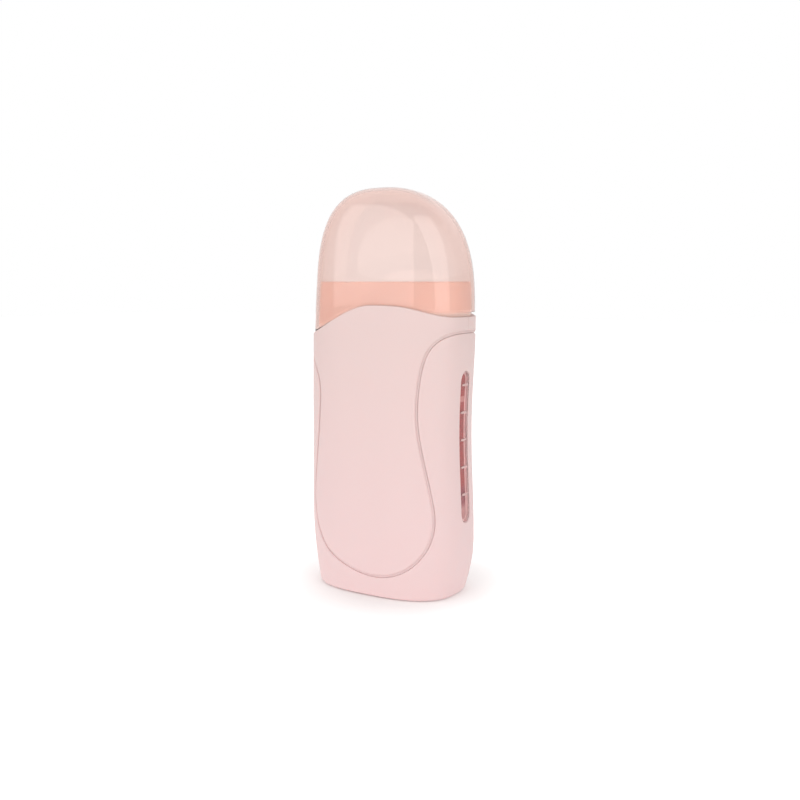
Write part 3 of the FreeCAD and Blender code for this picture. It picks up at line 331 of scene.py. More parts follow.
turns = np.linspace(-np.pi / 2, 1.5 * np.pi, RING_POINTS)
ring_x, ring_y = plan_ring(turns)
steps = np.hypot(np.diff(BELLY_HALF[RIGHT] * ring_x), np.diff(BELLY_HALF_DEPTH * ring_y))
laps = np.concatenate(([0.0], np.cumsum(steps)))
ROUND = laps[-1]  # once round the body
END = ROUND / 4  # from the middle of the front to the middle of the window end


def on_body(lap, height, depth):
    """The ring's point at that lap times the body's half sizes at that height, less the depth."""
    x, y = plan_ring(np.interp(np.mod(lap, ROUND), laps, turns))
    wide = width_at(x, height) - depth
    return np.stack([wide * x, (half_depth(height) - depth) * y, height + 0 * lap], -1)


def laid(lines, depth):
    """Laps and heights laid on a wall at a depth in the body."""
    return on_body(lines[..., 0], lines[..., 1], depth)


def lap_at(x, height, depth=0.0):
    """Lap on the front of the point with that x at that height: the ring's x turned back to a lap."""
    front = np.linspace(-np.pi, 0, RING_POINTS)
    front_laps = np.interp(np.mod(front + np.pi / 2, 2 * np.pi), turns + np.pi / 2, laps)
    front_laps = np.where(front < -np.pi / 2, front_laps - ROUND, front_laps)
    return np.interp(x / (width_at(x, height) - depth), plan_ring(front)[0], front_laps)


def smooth_line(points, count):
    """Cubic spline through points with straight ends, sampled at even steps of chord length."""
    points = np.array(points, float)
    run = np.hypot(*np.diff(points, axis=0).T)
    knots = np.concatenate(([0.0], np.cumsum(run)))
    inner = np.arange(1, len(points) - 1)
    system = np.eye(len(points))
    system[inner, inner - 1] = run[:-1]
    system[inner, inner] = 2 * (run[:-1] + run[1:])
    system[inner, inner + 1] = run[1:]
    slope = np.diff(points, axis=0) / run[:, None]
    load = np.zeros_like(points)
    load[inner] = 6 * np.diff(slope, axis=0)
    bend = np.linalg.solve(system, load)
    at = np.linspace(0, knots[-1], count)
    span = np.clip(np.searchsorted(knots, at, side="right") - 1, 0, len(run) - 1)
    length = run[span][:, None]
    after = (at - knots[span])[:, None]
    before = length - after
    return ((bend[span] * before ** 3 + bend[span + 1] * after ** 3) / (6 * length)
            + (points[span] / length - bend[span] * length / 6) * before
            + (points[span + 1] / length - bend[span + 1] * length / 6) * after)


def even_steps(line, count):
    """The same line at even steps of its length."""
    length = np.concatenate(([0.0], np.cumsum(np.hypot(*np.diff(line, axis=0).T))))
    at = np.linspace(0, length[-1], count)
    return np.stack([np.interp(at, length, line[:, 0]), np.interp(at, length, line[:, 1])], -1)


# The groove between the panel and the side frame: height and width of the strip of frame beside it
# down the right and up the left, and the foot of the panel between them.
RIGHT_STRIP = ((115.4, 7.7), (105.5, 11.7), (95.0, 12.8), (82.0, 12.8), (66.0, 10.7), (47.3, 7.8),
               (35.5, 7.2), (24.5, 10.3))
LEFT_STRIP = ((103.0, 8.0), (96.0, 11.1), (85.0, 11.4), (66.0, 9.3), (47.0, 7.2), (34.0, 7.9),
              (25.0, 11.2))
PANEL_FOOT = ((17.0, 13.0), (1.9, 10.3), (-13.2, 14.2), (-22.0, 19.0))
GROOVE_END = {LEFT: 111.9, RIGHT: 120.6}
RUN_OUT, RUN_OUT_RISE = 6.5, {LEFT: 4.0, RIGHT: 1.0}  # how the line goes on past the ends
LINE_POINTS = 2400
GROOVE_HALF = 0.6
GROOVE_DEPTH = 0.65
BRANCH = 110  # steps up each side of the groove
SOLID_MERGE, SOLID_SLIVER = 0.003, 0.0005  # distances under which points merge and edges go
SHARP_FOLD = 38.0  # degrees


def groove_line():
    """Centre line of the groove as laps and heights, from the left end round the foot to the right."""
    left = [(strip - float(half_width(height, LEFT)), height) for height, strip in LEFT_STRIP]
    right = [(float(half_width(height, RIGHT)) - strip, height) for height, strip in RIGHT_STRIP]
    ends = {}
    for side in (LEFT, RIGHT):
        outside = (side * (BELLY_HALF[RIGHT] + RUN_OUT), GROOVE_END[side] + RUN_OUT_RISE[side])
        ends[side] = [outside, (side * BELLY_HALF[side], GROOVE_END[side])]
    line = smooth_line(ends[LEFT] + left + list(PANEL_FOOT[::-1]) + right[::-1] + ends[RIGHT][::-1],
                       LINE_POINTS)
    line = line[np.abs(line[:, 0]) < width_at(*line.T)]
    line = np.stack([lap_at(*line.T), line[:, 1]], -1)
    line[0, 0], line[-1, 0] = -END, END
    foot = np.argmin(line[:, 1])
    return np.concatenate([even_steps(line[:foot + 1], BRANCH + 1),
                           even_steps(line[foot:], BRANCH + 1)[1:]])


groove = groove_line()


def beside(line, offset):
    """Line moved away from the panel by the offset, square to its own direction."""
    along = np.gradient(line, axis=0)
    along[[0, -1]] = (1, 0)
    along /= np.hypot(*along.T)[:, None]
    return line + offset * np.stack([along[:, 1], -along[:, 0]], -1)


def on_rear(line):
    """The same line on the rear: mirrored in the middle of the window end, and turned round."""
    return np.stack([2 * END - line[::-1, 0], line[::-1, 1]], -1)


def off_line(middle, guide, radius):
    """Points a radius off those of a middle line, each towards its point of a guide."""
    away = guide - middle
    return middle + radius * away / np.hypot(*away.T)[:, None]


def rounding(radius, steps=4):
    """Quarter round from the face to the side: the edge draws back by the radius less its sine and
    lies deep by the radius less its cosine."""
    angle = np.linspace(0, np.pi / 2, steps + 1)
    return [(radius * (1 - math.sin(turn)), radius * (1 - math.cos(turn))) for turn in angle]


def all_cells(points):
    """Keeps every cell of a grid of points."""
    return np.ones((points.shape[0] - 1, points.shape[1] - 1), bool)


def sheet(points, keep=None, slot=0):
    """Grid of points for a mesh, the cells to keep and the material slot."""
    return points, all_cells(points) if keep is None else keep, slot


def make_piece(name, sheets, body, replaced, materials):
    """Mesh from sheets, merged where they meet, with smooth faces and sharp folds."""
    points, faces, slots, start = [], [], [], 0
    for grid, keep, slot in sheets:
        rows, columns = grid.shape[:2]
        index = start + np.arange(rows * columns).reshape(rows, columns)
        cells = np.stack([index[:-1, :-1], index[:-1, 1:], index[1:, 1:], index[1:, :-1]], -1)[keep]
        points.append(grid.reshape(-1, 3) * MM)
        faces.append(cells)
        slots.append(np.full(len(cells), slot))
        start += rows * columns
    mesh = bpy.data.meshes.new(name)
    mesh.from_pydata(np.concatenate(points), [], np.concatenate(faces).tolist())
    mesh.polygons.foreach_set("material_index", np.concatenate(slots))
    solid = bmesh.new()
    solid.from_mesh(mesh)
    bmesh.ops.remove_doubles(solid, verts=solid.verts, dist=SOLID_MERGE * MM)
    bmesh.ops.dissolve_degenerate(solid, edges=solid.edges, dist=SOLID_SLIVER * MM)
    bmesh.ops.recalc_face_normals(solid, faces=solid.faces)
    solid.to_mesh(mesh)
    solid.free()
    mesh.shade_smooth()
    mesh.set_sharp_from_angle(angle=math.radians(SHARP_FOLD))
    for material in materials:
        mesh.materials.append(material)
    piece = add_object(name, mesh)
    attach(piece, body)
    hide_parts(*replaced)


# ==== side frame
# One U-shaped moulding: the base and both arms. It carries the level window in its right arm and
# ends in a soft edge along the groove, under which a ledge takes the covers.
EDGE_ROUND = 0.45
RIM_WIDTH = 1.6
LEDGE_REACH, LEDGE_TOP, LEDGE_UNDER = 2.0, 1.85, 3.05
FRAME_FLOOR_TOP = 2.5
BASE_ROUND = 0.9
WINDOW_LOW, WINDOW_HIGH, WINDOW_HALF = 34.5, 103.0, 4.35
WINDOW_ROUND = 0.6
ARM_COLUMNS = 44
WINDOW_DIP = 13.0  # how far the right arm's lowest row sags below the window
BASE_ROWS, WINDOW_ROWS, PLATE_ROWS = 14, 12, 8
WINDOW_CROWD = 1.3  # power that draws the window's rows closer to it
BULGE_BELOW = 60.0  # height under which the groove's widest places are looked for

last = len(groove) - 1
left_bulge = int(np.argmin(np.where(groove[:, 1] < BULGE_BELOW, groove[:, 0], np.inf)))
right_bulge = int(np.argmax(np.where(groove[:, 1] < BULGE_BELOW, groove[:, 0], -np.inf)))


def across_end(start, end, dip=0.0):
    """Row round an end from one face to the other, sagging by the dip times a sine squared."""
    share = even(ARM_COLUMNS)[:, None]
    row = start + (end - start) * share
    row[:, 1] -= dip * np.sin(np.pi * share[:, 0]) ** 2
    return row


def window_outline(guide, radius):
    """Outline of the window, a radius off its upright middle line, towards each point of a guide."""
    middle = np.clip(guide[:, 1], WINDOW_LOW + WINDOW_HALF, WINDOW_HIGH - WINDOW_HALF)
    return off_line(np.stack([np.full(len(guide), END), middle], -1), guide, radius)


def frame_edges(offset):
    """Line round the base, rows over the left arm and line round the right arm, where the frame
    ends at an offset from the groove."""
    front = beside(groove, offset)
    rear = on_rear(front)
    right_row = across_end(front[right_bulge], rear[last - right_bulge], WINDOW_DIP)
    left_row = across_end(rear[last - left_bulge], front[left_bulge] + (ROUND, 0))
    base = np.concatenate([front[left_bulge:right_bulge], right_row[:-1],
                           rear[last - right_bulge:last - left_bulge], left_row])
    right_arm = np.concatenate([front[right_bulge:], rear[1:last - right_bulge + 1], right_row[::-1][1:]])
    left_arm = np.stack([across_end(rear[last - row], front[row] + (ROUND, 0))
                         for row in range(left_bulge, -1, -1)])
    return base, left_arm, right_arm


window_guide = frame_edges(0.0)[2]


def frame_wall(offset, depth, low, window_radius):
    """The frame's wall at one depth: the ring round the base, the left arm, and the right arm as
    rows that widen from the window's outline to the arm's with a power of their number."""
    base, left_arm, right_arm = frame_edges(offset)
    share = even(BASE_ROWS)[:, None]
    base_heights = low + (base[:, 1] - low) * share
    inner = window_outline(window_guide, window_radius)
    widening = (even(WINDOW_ROWS) ** WINDOW_CROWD)[:, None, None]
    window_arm = inner + (right_arm - inner) * widening
    return [sheet(on_body(base[:, 0] + 0 * share, base_heights, depth)), sheet(laid(left_arm, depth)),
            sheet(laid(window_arm, depth))]


def strip_of(lines, depths):
    """Strip over lines of laps and heights, each at its own depth."""
    return sheet(np.stack([laid(line, depth) for line, depth in zip(lines, depths)]))


def plate_in(ring):
    """Flat plate inside a ring: the ring drawn in to its middle."""
    middle = ring.mean(0)
    return sheet(middle + (ring - middle) * even(PLATE_ROWS)[::-1, None, None])


def side_frame_sheets():
    """Outer and inner wall, the rim along the groove with its ledge, the window's rim and the base."""
    outer = frame_wall(GROOVE_HALF + EDGE_ROUND, 0.0, UNDERSIDE + BASE_ROUND, WINDOW_HALF + WINDOW_ROUND)
    ledge, inside = GROOVE_HALF - LEDGE_REACH, GROOVE_HALF + RIM_WIDTH
    inner = frame_wall(inside, WALL, FRAME_FLOOR_TOP, WINDOW_HALF)
    rim = [(GROOVE_HALF + back, depth) for back, depth in rounding(EDGE_ROUND)]
    rim += [(GROOVE_HALF, LEDGE_TOP), (ledge, LEDGE_TOP), (ledge, LEDGE_UNDER), (inside, LEDGE_UNDER),
            (inside, WALL)]
    fronts = [beside(groove, offset) for offset, depth in rim]
    edges = [np.concatenate([front, on_rear(front)[1:]]) for front in fronts]
    window_rim = rounding(WINDOW_ROUND) + [(0.0, WALL)]
    outlines = [window_outline(window_guide, WINDOW_HALF + back) for back, depth in window_rim]
    round_base = frame_edges(GROOVE_HALF)[0][:, 0]
    under = [on_body(round_base, UNDERSIDE + back, depth) for back, depth in rounding(BASE_ROUND, 6)]
    floor = on_body(round_base, FRAME_FLOOR_TOP, WALL)
    return outer + inner + [strip_of(edges, [depth for offset, depth in rim]),
                            strip_of(outlines, [depth for back, depth in window_rim]),
                            sheet(np.stack(under)), plate_in(under[-1]), plate_in(floor)]


make_piece("side_frame_shell", side_frame_sheets(), "body", ["side_frame"], [casing])


# ==== front and rear cover
# Two thin shells with the same outline: a waisted panel that drops to the base between the arms and
# a band over the arms, whose wavy upper edge is the lip. The groove is moulded into their edges,
# and bosses inside take four long screws that go in from the rear.
LIP_CREST, LIP_CREST_X, LIP_FALL = 132.2, 3.0, 1.7
LIP_END = {LEFT: 118.4, RIGHT: 127.1}
PARTING_HALF = 0.08
COVER_FIT = 0.1
GROOVE_RIDGE = 0.15  # size of the small ridge along the foot of the groove's side
BAND_ROWS, COVER_COLUMNS = 8, 96
INLET_ROWS, HOLE_ROWS = 15, 4
SWELL_START = 70.0  # height from which the rows begin to follow the lip's wave
SCREWS = ((-32.0, 111.5), (32.0, 121.8), (-16.0, 20.4), (16.0, 20.4))
BOSS_RADIUS, RECESS_RADIUS, SCREW_SEAT = 3.6, 2.7, 6.0
RECESS_ROUND = 0.3
SCREW_CLEAR, INLET_CLEAR = 0.5, 3.0  # how far round a hole the grid gives way to its ring
INLET_HEIGHT, INLET_RADIUS, INLET_STRAIGHT = 17.6, 5.6, 3.8


def smooth_step(share):
    """Zero to one, flat at both ends: three times the square less twice the cube."""
    share = np.clip(share, 0, 1)
    return share * share * (3 - 2 * share)


def lip_height(x):
    """Wave of the lip: smooth steps down from the crest, the right one falling late."""
    edge = BELLY_HALF[RIGHT]
    left = LIP_CREST - (LIP_CREST - LIP_END[LEFT]) * smooth_step((LIP_CREST_X - x) / (LIP_CREST_X + edge))
    share = np.clip((x - LIP_CREST_X) / (edge - LIP_CREST_X), 0, 1)
    right = LIP_CREST - (LIP_CREST - LIP_END[RIGHT]) * smooth_step(share ** LIP_FALL)
    return np.where(x < LIP_CREST_X, left, right)


def cover_edges(offset, back):
    """Left side from the foot up, lip and right side of a cover that ends at an offset from the
    groove, and a little back from the lip and the parting line."""
    line = beside(groove, offset)
    reach = END - PARTING_HALF - back
    line[:, 0] = np.clip(line[:, 0], -reach, reach)
    lap = np.linspace(-reach, reach, COVER_COLUMNS + 1)
    lip = np.stack([lap, lip_height(on_body(lap, LIP_CREST, 0.0)[:, 0]) - back], -1)
    rise = even(BAND_ROWS)[1:, None]
    left, right = line[BRANCH::-1], line[BRANCH:]
    left = np.concatenate([left, left[-1] + (lip[0] - left[-1]) * rise])
    right = np.concatenate([right, right[-1] + (lip[-1] - right[-1]) * rise])
    return left, lip, right


def cover_rows(offset, back):
    """Rows from side to side of a cover, straight at the foot and bending into the lip's wave."""
    left, lip, right = cover_edges(offset, back)
    share = even(COVER_COLUMNS)
    rows = left[:, None] + (right - left)[:, None] * share[None, :, None]
    swell = lip[:, 1] - (lip[0, 1] + (lip[-1, 1] - lip[0, 1]) * share)
    mean = (left[:, 1] + right[:, 1]) / 2
    rows[..., 1] += smooth_step((mean - SWELL_START) / (mean[-1] - SWELL_START))[:, None] * swell
    return rows


def cover_border(offset, back):
    """Closed line round a cover: up the right side, along the lip and down the left side."""
    left, lip, right = cover_edges(offset, back)
    return np.concatenate([right, lip[::-1][1:], left[::-1][1:]])


def seen_from_front(lines, depth=0.0):
    """X and height of places on the body, or on a wall at a depth in it."""
    return laid(lines, depth)[..., [0, 2]]


def middle_of(hole, seen):
    """Nearest point of a hole's level middle line."""
    x, height, straight = hole[:3]
    along = np.clip(seen[..., 0], x - straight, x + straight)
    return np.stack([along, np.full(along.shape, height)], -1)


def hole_outline(guide, hole, radius, depth=0.0):
    """Outline of a hole, seen from the front, towards each point of a guide: a radius off its
    middle line."""
    seen = seen_from_front(guide)
    outline = off_line(middle_of(hole, seen), seen, radius)
    return np.stack([lap_at(*outline.T, depth), outline[:, 1]], -1)


def border_of(lines, block):
    """Closed line round a block of a grid."""
    low, high, first, final = block
    return np.concatenate([lines[low, first:final], lines[low:high, final], lines[high, final:first:-1],
                           lines[high:low:-1, first], lines[low:low + 1, first]])


def open_hole(patches, guides, hole, radius, depth):
    """Drops the cells round a hole from the grid that has it, and adds a ring of cells from the
    hole's outline to their border. Returns that border on the guide grid, which sets the outline out."""
    reach, across = hole[3:]
    nearness = []
    for guide, keep in guides:
        seen = seen_from_front(guide)
        near = np.hypot(*np.moveaxis(seen - middle_of(hole, seen), -1, 0)) < reach
        nearness.append((np.count_nonzero(near[:-1, :-1] & keep), near))
    at = int(np.argmax([count for count, near in nearness]))
    guide, keep = guides[at]
    rows, columns = np.nonzero(nearness[at][1])
    low, high = max(rows.min() - 1, 0), min(rows.max() + 1, guide.shape[0] - 1)
    first, final = max(columns.min() - 1, 0), min(columns.max() + 1, guide.shape[1] - 1)
    if across:
        first, final = 0, guide.shape[1] - 1
    block = (low, high, first, final)
    keep[low:high, first:final] = False
    guide_border = border_of(guide, block)
    outline = hole_outline(guide_border, hole, radius, depth)
    share = even(INLET_ROWS if across else HOLE_ROWS)[:, None, None]
    patches.append(outline + (border_of(patches[at], block) - outline) * share)
    ring = outline + (guide_border - outline) * share
    guides.append((ring, all_cells(ring)))
    return guide_border


def cover_wall(offset, back, depth, holes, grow):
    """One face of a cover's wall with its holes, each with its radius, and the borders they follow."""
    rows = cover_rows(0.0, 0.0)
    guides = [(rows, all_cells(rows))]
    patches = [cover_rows(offset, back)]
    borders = [open_hole(patches, guides, hole, radius + grow, depth) for hole, radius in holes]
    sheets = [sheet(laid(lines, depth), keep) for lines, (guide, keep) in zip(patches, guides)]
    return sheets, borders


def level_ring(outline, depth, y):
    """Outline on a wall at a depth, carried straight in to the plane at y."""
    seen = seen_from_front(outline, depth)
    return np.stack([seen[:, 0], np.full(len(seen), y), seen[:, 1]], -1)


def soft_rim(border, hole, radius):
    """Rings over the rounded rim of a hole in the outer wall."""
    return [laid(hole_outline(border, hole, radius + back), depth)
            for back, depth in rounding(RECESS_ROUND, 3)]


def sunk_hole(border, hole, radius):
    """Round recess with a soft rim and a flat seat for a screw's head."""
    seat = level_ring(hole_outline(border, hole, radius), 0.0, -SCREW_SEAT)
    return [sheet(np.stack(soft_rim(border, hole, radius) + [seat])), plate_in(seat)]


def boss(border, hole, radius):
    """Screw boss from the inner wall to the parting plane."""
    outline = hole_outline(border, hole, radius, WALL)
    end_ring = level_ring(outline, WALL, -PARTING_HALF)
    return [sheet(np.stack([laid(outline, WALL), end_ring])), plate_in(end_ring)]


def cover_sheets(recessed):
    """Outer wall, rim with the groove's floor, inner wall and bosses; the rear one has its screw
    recesses and the opening for the mains inlet."""
    inlet = (0.0, INLET_HEIGHT, INLET_STRAIGHT, INLET_RADIUS + INLET_CLEAR, True)
    screws = [(x, height, 0.0, BOSS_RADIUS + SCREW_CLEAR, False) for x, height in SCREWS]
    inlets = [(inlet, INLET_RADIUS)] if recessed else []
    outer_holes = inlets + [(hole, RECESS_RADIUS) for hole in screws if recessed]
    inner_holes = inlets + [(hole, BOSS_RADIUS) for hole in screws]
    outer, outer_borders = cover_wall(-GROOVE_HALF - EDGE_ROUND, EDGE_ROUND, 0.0, outer_holes, RECESS_ROUND)
    foot, side = GROOVE_DEPTH - GROOVE_RIDGE, GROOVE_HALF - COVER_FIT
    inner, inner_borders = cover_wall(side, 0.0, WALL, inner_holes, 0.0)
    rim = [(-GROOVE_HALF - back, back, depth) for back, depth in rounding(EDGE_ROUND)]
    rim += [(-GROOVE_HALF, 0.0, foot)]
    rim += [(-GROOVE_HALF + GROOVE_RIDGE - back, 0.0, foot + back)
            for back, depth in rounding(GROOVE_RIDGE, 3)[::-1][1:]]
    rim += [(side, 0.0, GROOVE_DEPTH), (side, 0.0, WALL)]
    sheets = outer + inner + [strip_of([cover_border(offset, back) for offset, back, depth in rim],
                                       [depth for offset, back, depth in rim])]
    for (hole, radius), border in zip(inner_holes, inner_borders):
        if radius == BOSS_RADIUS:
            sheets += boss(border, hole, radius)
    for (hole, radius), border in zip(outer_holes, outer_borders):
        if radius == RECESS_RADIUS:
            sheets += sunk_hole(border, hole, radius)
        else:
            inside = laid(hole_outline(border, hole, radius, WALL), WALL)
            sheets.append(sheet(np.stack(soft_rim(border, hole, radius) + [inside])))
    if recessed:
        sheets = [(points * (1, -1, 1), keep, slot) for points, keep, slot in sheets]
    return sheets


make_piece("front_cover_shell", cover_sheets(False), "body", ["front_cover"], [casing])
make_piece("rear_cover_shell", cover_sheets(True), "body", ["rear_cover"], [casing])


# ==== mouth collar
# The neck that the lid fits over, moulded in a warmer heat-resistant plastic. The cartridge goes
# down through the oval mouth in its flat top.
COLLAR_COLOUR = (0.722, 0.535, 0.472)
RESIN_RATIOS, RESIN_REACH = (1.0, 0.5, 0.4), 0.0015
COLLAR_INSET = 1.7
COLLAR_TOP, COLLAR_EDGE, COLLAR_WALL, COLLAR_PLATE = 142.5, 0.8, 1.5, 2.0
COLLAR_LOW, COLLAR_SLOPE = 116.65, 0.161
MOUTH_HALF_X, MOUTH_HALF_Y, MOUTH_CORNER, MOUTH_Y = 26.5, 16.0, 8.0, -1.0
MOUTH_ROUND = 0.5
DOME_BASE, DOME_TOP = 128.0, 185.0
DOME_LEFT, DOME_RIGHT, DOME_HALF_DEPTH = 36.0, 38.75, 23.4
DOME_FLARE, FLARE_TOP, DOME_LEAN = 0.05, 142.0, -3.7
WIDTH_RISE, WIDTH_ROUND = 2.71, 2.48
DEPTH_RISE, DEPTH_ROUND = 4.2, 2.4
AROUND = np.linspace(0, 2 * np.pi, 241)
ARC_POINTS, SIDE_POINTS = 25, 48  # on each corner of the mouth, and between two such points
COLLAR_ROWS, TOP_ROWS, INSIDE_ROWS = 15, 5, 8


def on_dome(turn, height, inset):
    """Place on the lid's form: the plan ring times half sizes that close over the crown as a root
    of one less a power of the rise, while its middle leans to the left with the rise cubed."""
    share = np.clip((height - DOME_BASE) / (DOME_TOP - DOME_BASE - inset), 0, 1)
    wide = np.maximum(1 - share ** WIDTH_RISE, 0) ** (1 / WIDTH_ROUND)
    deep = np.maximum(1 - share ** DEPTH_RISE, 0) ** (1 / DEPTH_ROUND)
    x, y = plan_ring(turn)
    left = DOME_LEFT + DOME_FLARE * np.maximum(FLARE_TOP - height, 0)
    half = np.where(x < 0, left, DOME_RIGHT) - inset
    return np.stack([half * wide * x + DOME_LEAN * share ** 3, (DOME_HALF_DEPTH - inset) * deep * y,
                     height + 0 * turn], -1)


def rounded_box(angle, half_x, half_y, corner):
    """Distance from the middle of a rounded rectangle to its edge in each direction."""
    arc = np.linspace(0, np.pi / 2, ARC_POINTS)
    x = half_x - corner + corner * np.cos(arc)
    y = half_y - corner + corner * np.sin(arc)
    half = np.concatenate([np.stack([x, y], -1), np.stack([-x, y], -1)[::-1]])
    outline = np.concatenate([half, -half])
    step = np.roll(outline, -1, 0) - outline
    outline = np.concatenate([outline + step * share for share in even(SIDE_POINTS)[:-1]])
    directions = np.arctan2(outline[:, 1], outline[:, 0])
    order = np.argsort(directions)
    return np.interp(angle, directions[order], np.hypot(*outline.T)[order], period=2 * np.pi)


def mouth_ring(grow, height):
    """The mouth's edge, grown by a little, towards each point of the collar's edge."""
    edge = on_dome(AROUND, COLLAR_TOP, COLLAR_INSET + COLLAR_EDGE)
    angle = np.arctan2(edge[:, 1] - MOUTH_Y, edge[:, 0])
    reach = rounded_box(angle, MOUTH_HALF_X + grow, MOUTH_HALF_Y + grow, MOUTH_CORNER + grow)
    return np.stack([reach * np.cos(angle), MOUTH_Y + reach * np.sin(angle), height + 0 * angle], -1)


def collar_sheets():
    """One profile carried round: outer wall, soft edge, flat top, mouth, and back down inside."""
    low = COLLAR_LOW + COLLAR_SLOPE * on_dome(AROUND, DOME_BASE, COLLAR_INSET)[:, 0]
    wall_top = COLLAR_TOP - COLLAR_EDGE
    rings = [on_dome(AROUND, low + (wall_top - low) * share, COLLAR_INSET) for share in even(COLLAR_ROWS)]
    rings += [on_dome(AROUND, COLLAR_TOP - back, COLLAR_INSET + deep)
              for back, deep in rounding(COLLAR_EDGE, 6)[1:]]
    edge, mouth = rings[-1], mouth_ring(MOUTH_ROUND, COLLAR_TOP)
    rings += [edge + (mouth - edge) * share for share in even(TOP_ROWS)[1:]]
    rings += [mouth_ring(back, COLLAR_TOP - deep) for back, deep in rounding(MOUTH_ROUND)[1:]]
    under = COLLAR_TOP - COLLAR_PLATE
    rings.append(mouth_ring(0.0, under))
    inner = COLLAR_INSET + COLLAR_WALL
    rings += [on_dome(AROUND, under + (low - under) * share, inner) for share in even(INSIDE_ROWS)]
    rings.append(rings[0])
    return [sheet(np.stack(rings))]


def moulded(name, colour, roughness, grain=1400.0, through=0.0):
    """Moulded plastic: slow mottling of colour, a fine grain, and light that goes through it."""
    material, shader, place = start_material(name)
    flow = noise(place, 45.0, detail=3.0)
    fine = noise(place, grain, detail=3.0)
    finish(shader, mottled(flow, colour, 0.94, 1.03),
           ranged(fine, roughness - 0.05, roughness + 0.05), ((flow, 10), (fine, 4)),
           Subsurface_Weight=through, Subsurface_Radius=RESIN_RATIOS, Subsurface_Scale=RESIN_REACH)
    return material


make_piece("mouth_collar_neck", collar_sheets(), "body", ["mouth_collar"],
           [moulded("collar_plastic", COLLAR_COLOUR, 0.4, through=0.15)])


# ==== lid
# A clear pink dome, moulded with an even wall. It lifts off straight up. Its lower edge follows the
# lip and opens into a finger gap at the window end.
LID_WALL, LID_EDGE = 1.4, 0.4
LID_GAP, FINGER_GAP, FINGER_START = 0.35, 1.8, 27.0
LID_SHOULDER = 140.0
LID_TINT, LID_DENSITY, LID_BODY = (0.78, 0.386, 0.262), 150.0, (0.982, 0.950, 0.940)
LID_SHADE = (0.985, 0.93, 0.92)
CLEAR_INDEX, COAT_INDEX = 1.2, 1.5
EDGE_TRIES = 6  # rounds in which the edge's height settles
SKIRT_ROWS, CROWN_ROWS = 11, 47


def lid_edge(turn):
    """Height of the lid's lower edge: the lip's wave plus the gap, which widens at the right end."""
    height = np.full(len(turn), DOME_BASE)
    for _ in range(EDGE_TRIES):
        x = on_dome(turn, height, 0.0)[:, 0]
        share = (x - FINGER_START) / (BELLY_HALF[RIGHT] - FINGER_START)
        height = lip_height(x) + LID_GAP + (FINGER_GAP - LID_GAP) * smooth_step(share)
    return height


def lid_wall_rings(inset, start):
    """Rings of one face from the edge to the crown: at even heights up to the shoulder, and above
    it where the rise is a power of the sine of an even angle, so that they crowd at the crown."""
    rise = DOME_TOP - DOME_BASE - inset
    first = math.asin(((LID_SHOULDER - DOME_BASE) / rise) ** (WIDTH_RISE / 2))
    rings = [on_dome(AROUND, start + (LID_SHOULDER - start) * share, inset) for share in even(SKIRT_ROWS)]
    for angle in np.linspace(first, np.pi / 2, CROWN_ROWS + 1)[1:]:
        rings.append(on_dome(AROUND, DOME_BASE + rise * math.sin(angle) ** (2 / WIDTH_RISE), inset))
    return rings


def lid_sheets():
    """Outer face from the crown down, a soft lower edge and the inner face up to its own crown."""
    edge = lid_edge(AROUND)
    outer = lid_wall_rings(0.0, edge + LID_EDGE)[::-1]
    inner = lid_wall_rings(LID_WALL, edge + LID_EDGE)
    soft = rounding(LID_EDGE)
    outer += [on_dome(AROUND, edge + back, deep) for back, deep in soft[1:]]
    turn_in = [on_dome(AROUND, edge + back, LID_WALL - deep) for back, deep in soft[::-1][:-1]]
    return [sheet(np.stack(outer + turn_in + inner))]


def clear_plastic(name, tint, density, shade, roughness=0.035, body=(1, 1, 1)):
    """Clear plastic. Its tint takes light away along the way through the wall, its body colour at
    each face, and its shade from the lamps. Faint flow marks and haze cross its faces."""
    material, shader, place = start_material(name)
    flow = noise(place, 22.0, detail=3.0, stretch=(1.0, 1.0, 0.4))
    fine = noise(place, 900.0)
    finish(shader, mottled(flow, body, 0.98, 1.0),
           ranged(fine, roughness - 0.015, roughness + 0.015), ((flow, 10), (fine, 0.6)),
           Transmission_Weight=1.0, IOR=CLEAR_INDEX, Coat_Weight=0.6, Coat_Roughness=0.03,
           Coat_IOR=COAT_INDEX)
    shadow = add_node(shader, "LightPath").outputs["Is Shadow Ray"]
    open_way = add_node(shader, "BsdfTransparent", Color=scaled(shade))
    mix = add_node(shader, "MixShader", shadow, shader.outputs[0], open_way.outputs[0])
    lost = add_node(shader, "VolumeAbsorption", Color=scaled(tint), Density=density)
    fill(material.node_tree.nodes["Material Output"], Surface=mix.outputs[0], Volume=lost.outputs[0])
    return material


make_piece("lid_dome", lid_sheets(), "lid", ["lid"],
           [clear_plastic("clear_pink_lid", LID_TINT, LID_DENSITY, LID_SHADE, body=LID_BODY)])


# ==== level window
# A clear strip set a little below the arm's surface, with a flange behind it and five raised bars
# that mark the level of the wax.
LENS_FIT, LENS_SUNK, LENS_ROUND = 0.1, 0.4, 0.3
LENS_GAP_SHADE_DEPTH = 1.0  # how deep the dark band, painted shadow of the gap round the lens, goes down its side
LENS_REAR_RIM = 1.0
END_POINTS = 17  # on each round end of the lens and of a bar
LENS_STEPS, MARK_STEPS, FACE_ROWS = 60, 12, 6
LENS_SEAT, LENS_BACK, LENS_FLANGE = 1.9, 2.8, 1.0
MARK_FIRST, MARK_STEP, MARK_COUNT = 47.3, 12.4, 5
MARK_HALF_WIDTH, MARK_HALF_HEIGHT, MARK_PROUD = 2.7, 0.5, 0.2
MARK_ROOT = 0.8
WINDOW_TINT, WINDOW_DENSITY, WINDOW_SHADE = (0.9, 0.6, 0.58), 90.0, (0.97, 0.93, 0.92)
MARK_COLOUR, LENS_SIDE_COLOUR = (0.64, 0.43, 0.41), (0.86, 0.60, 0.585)
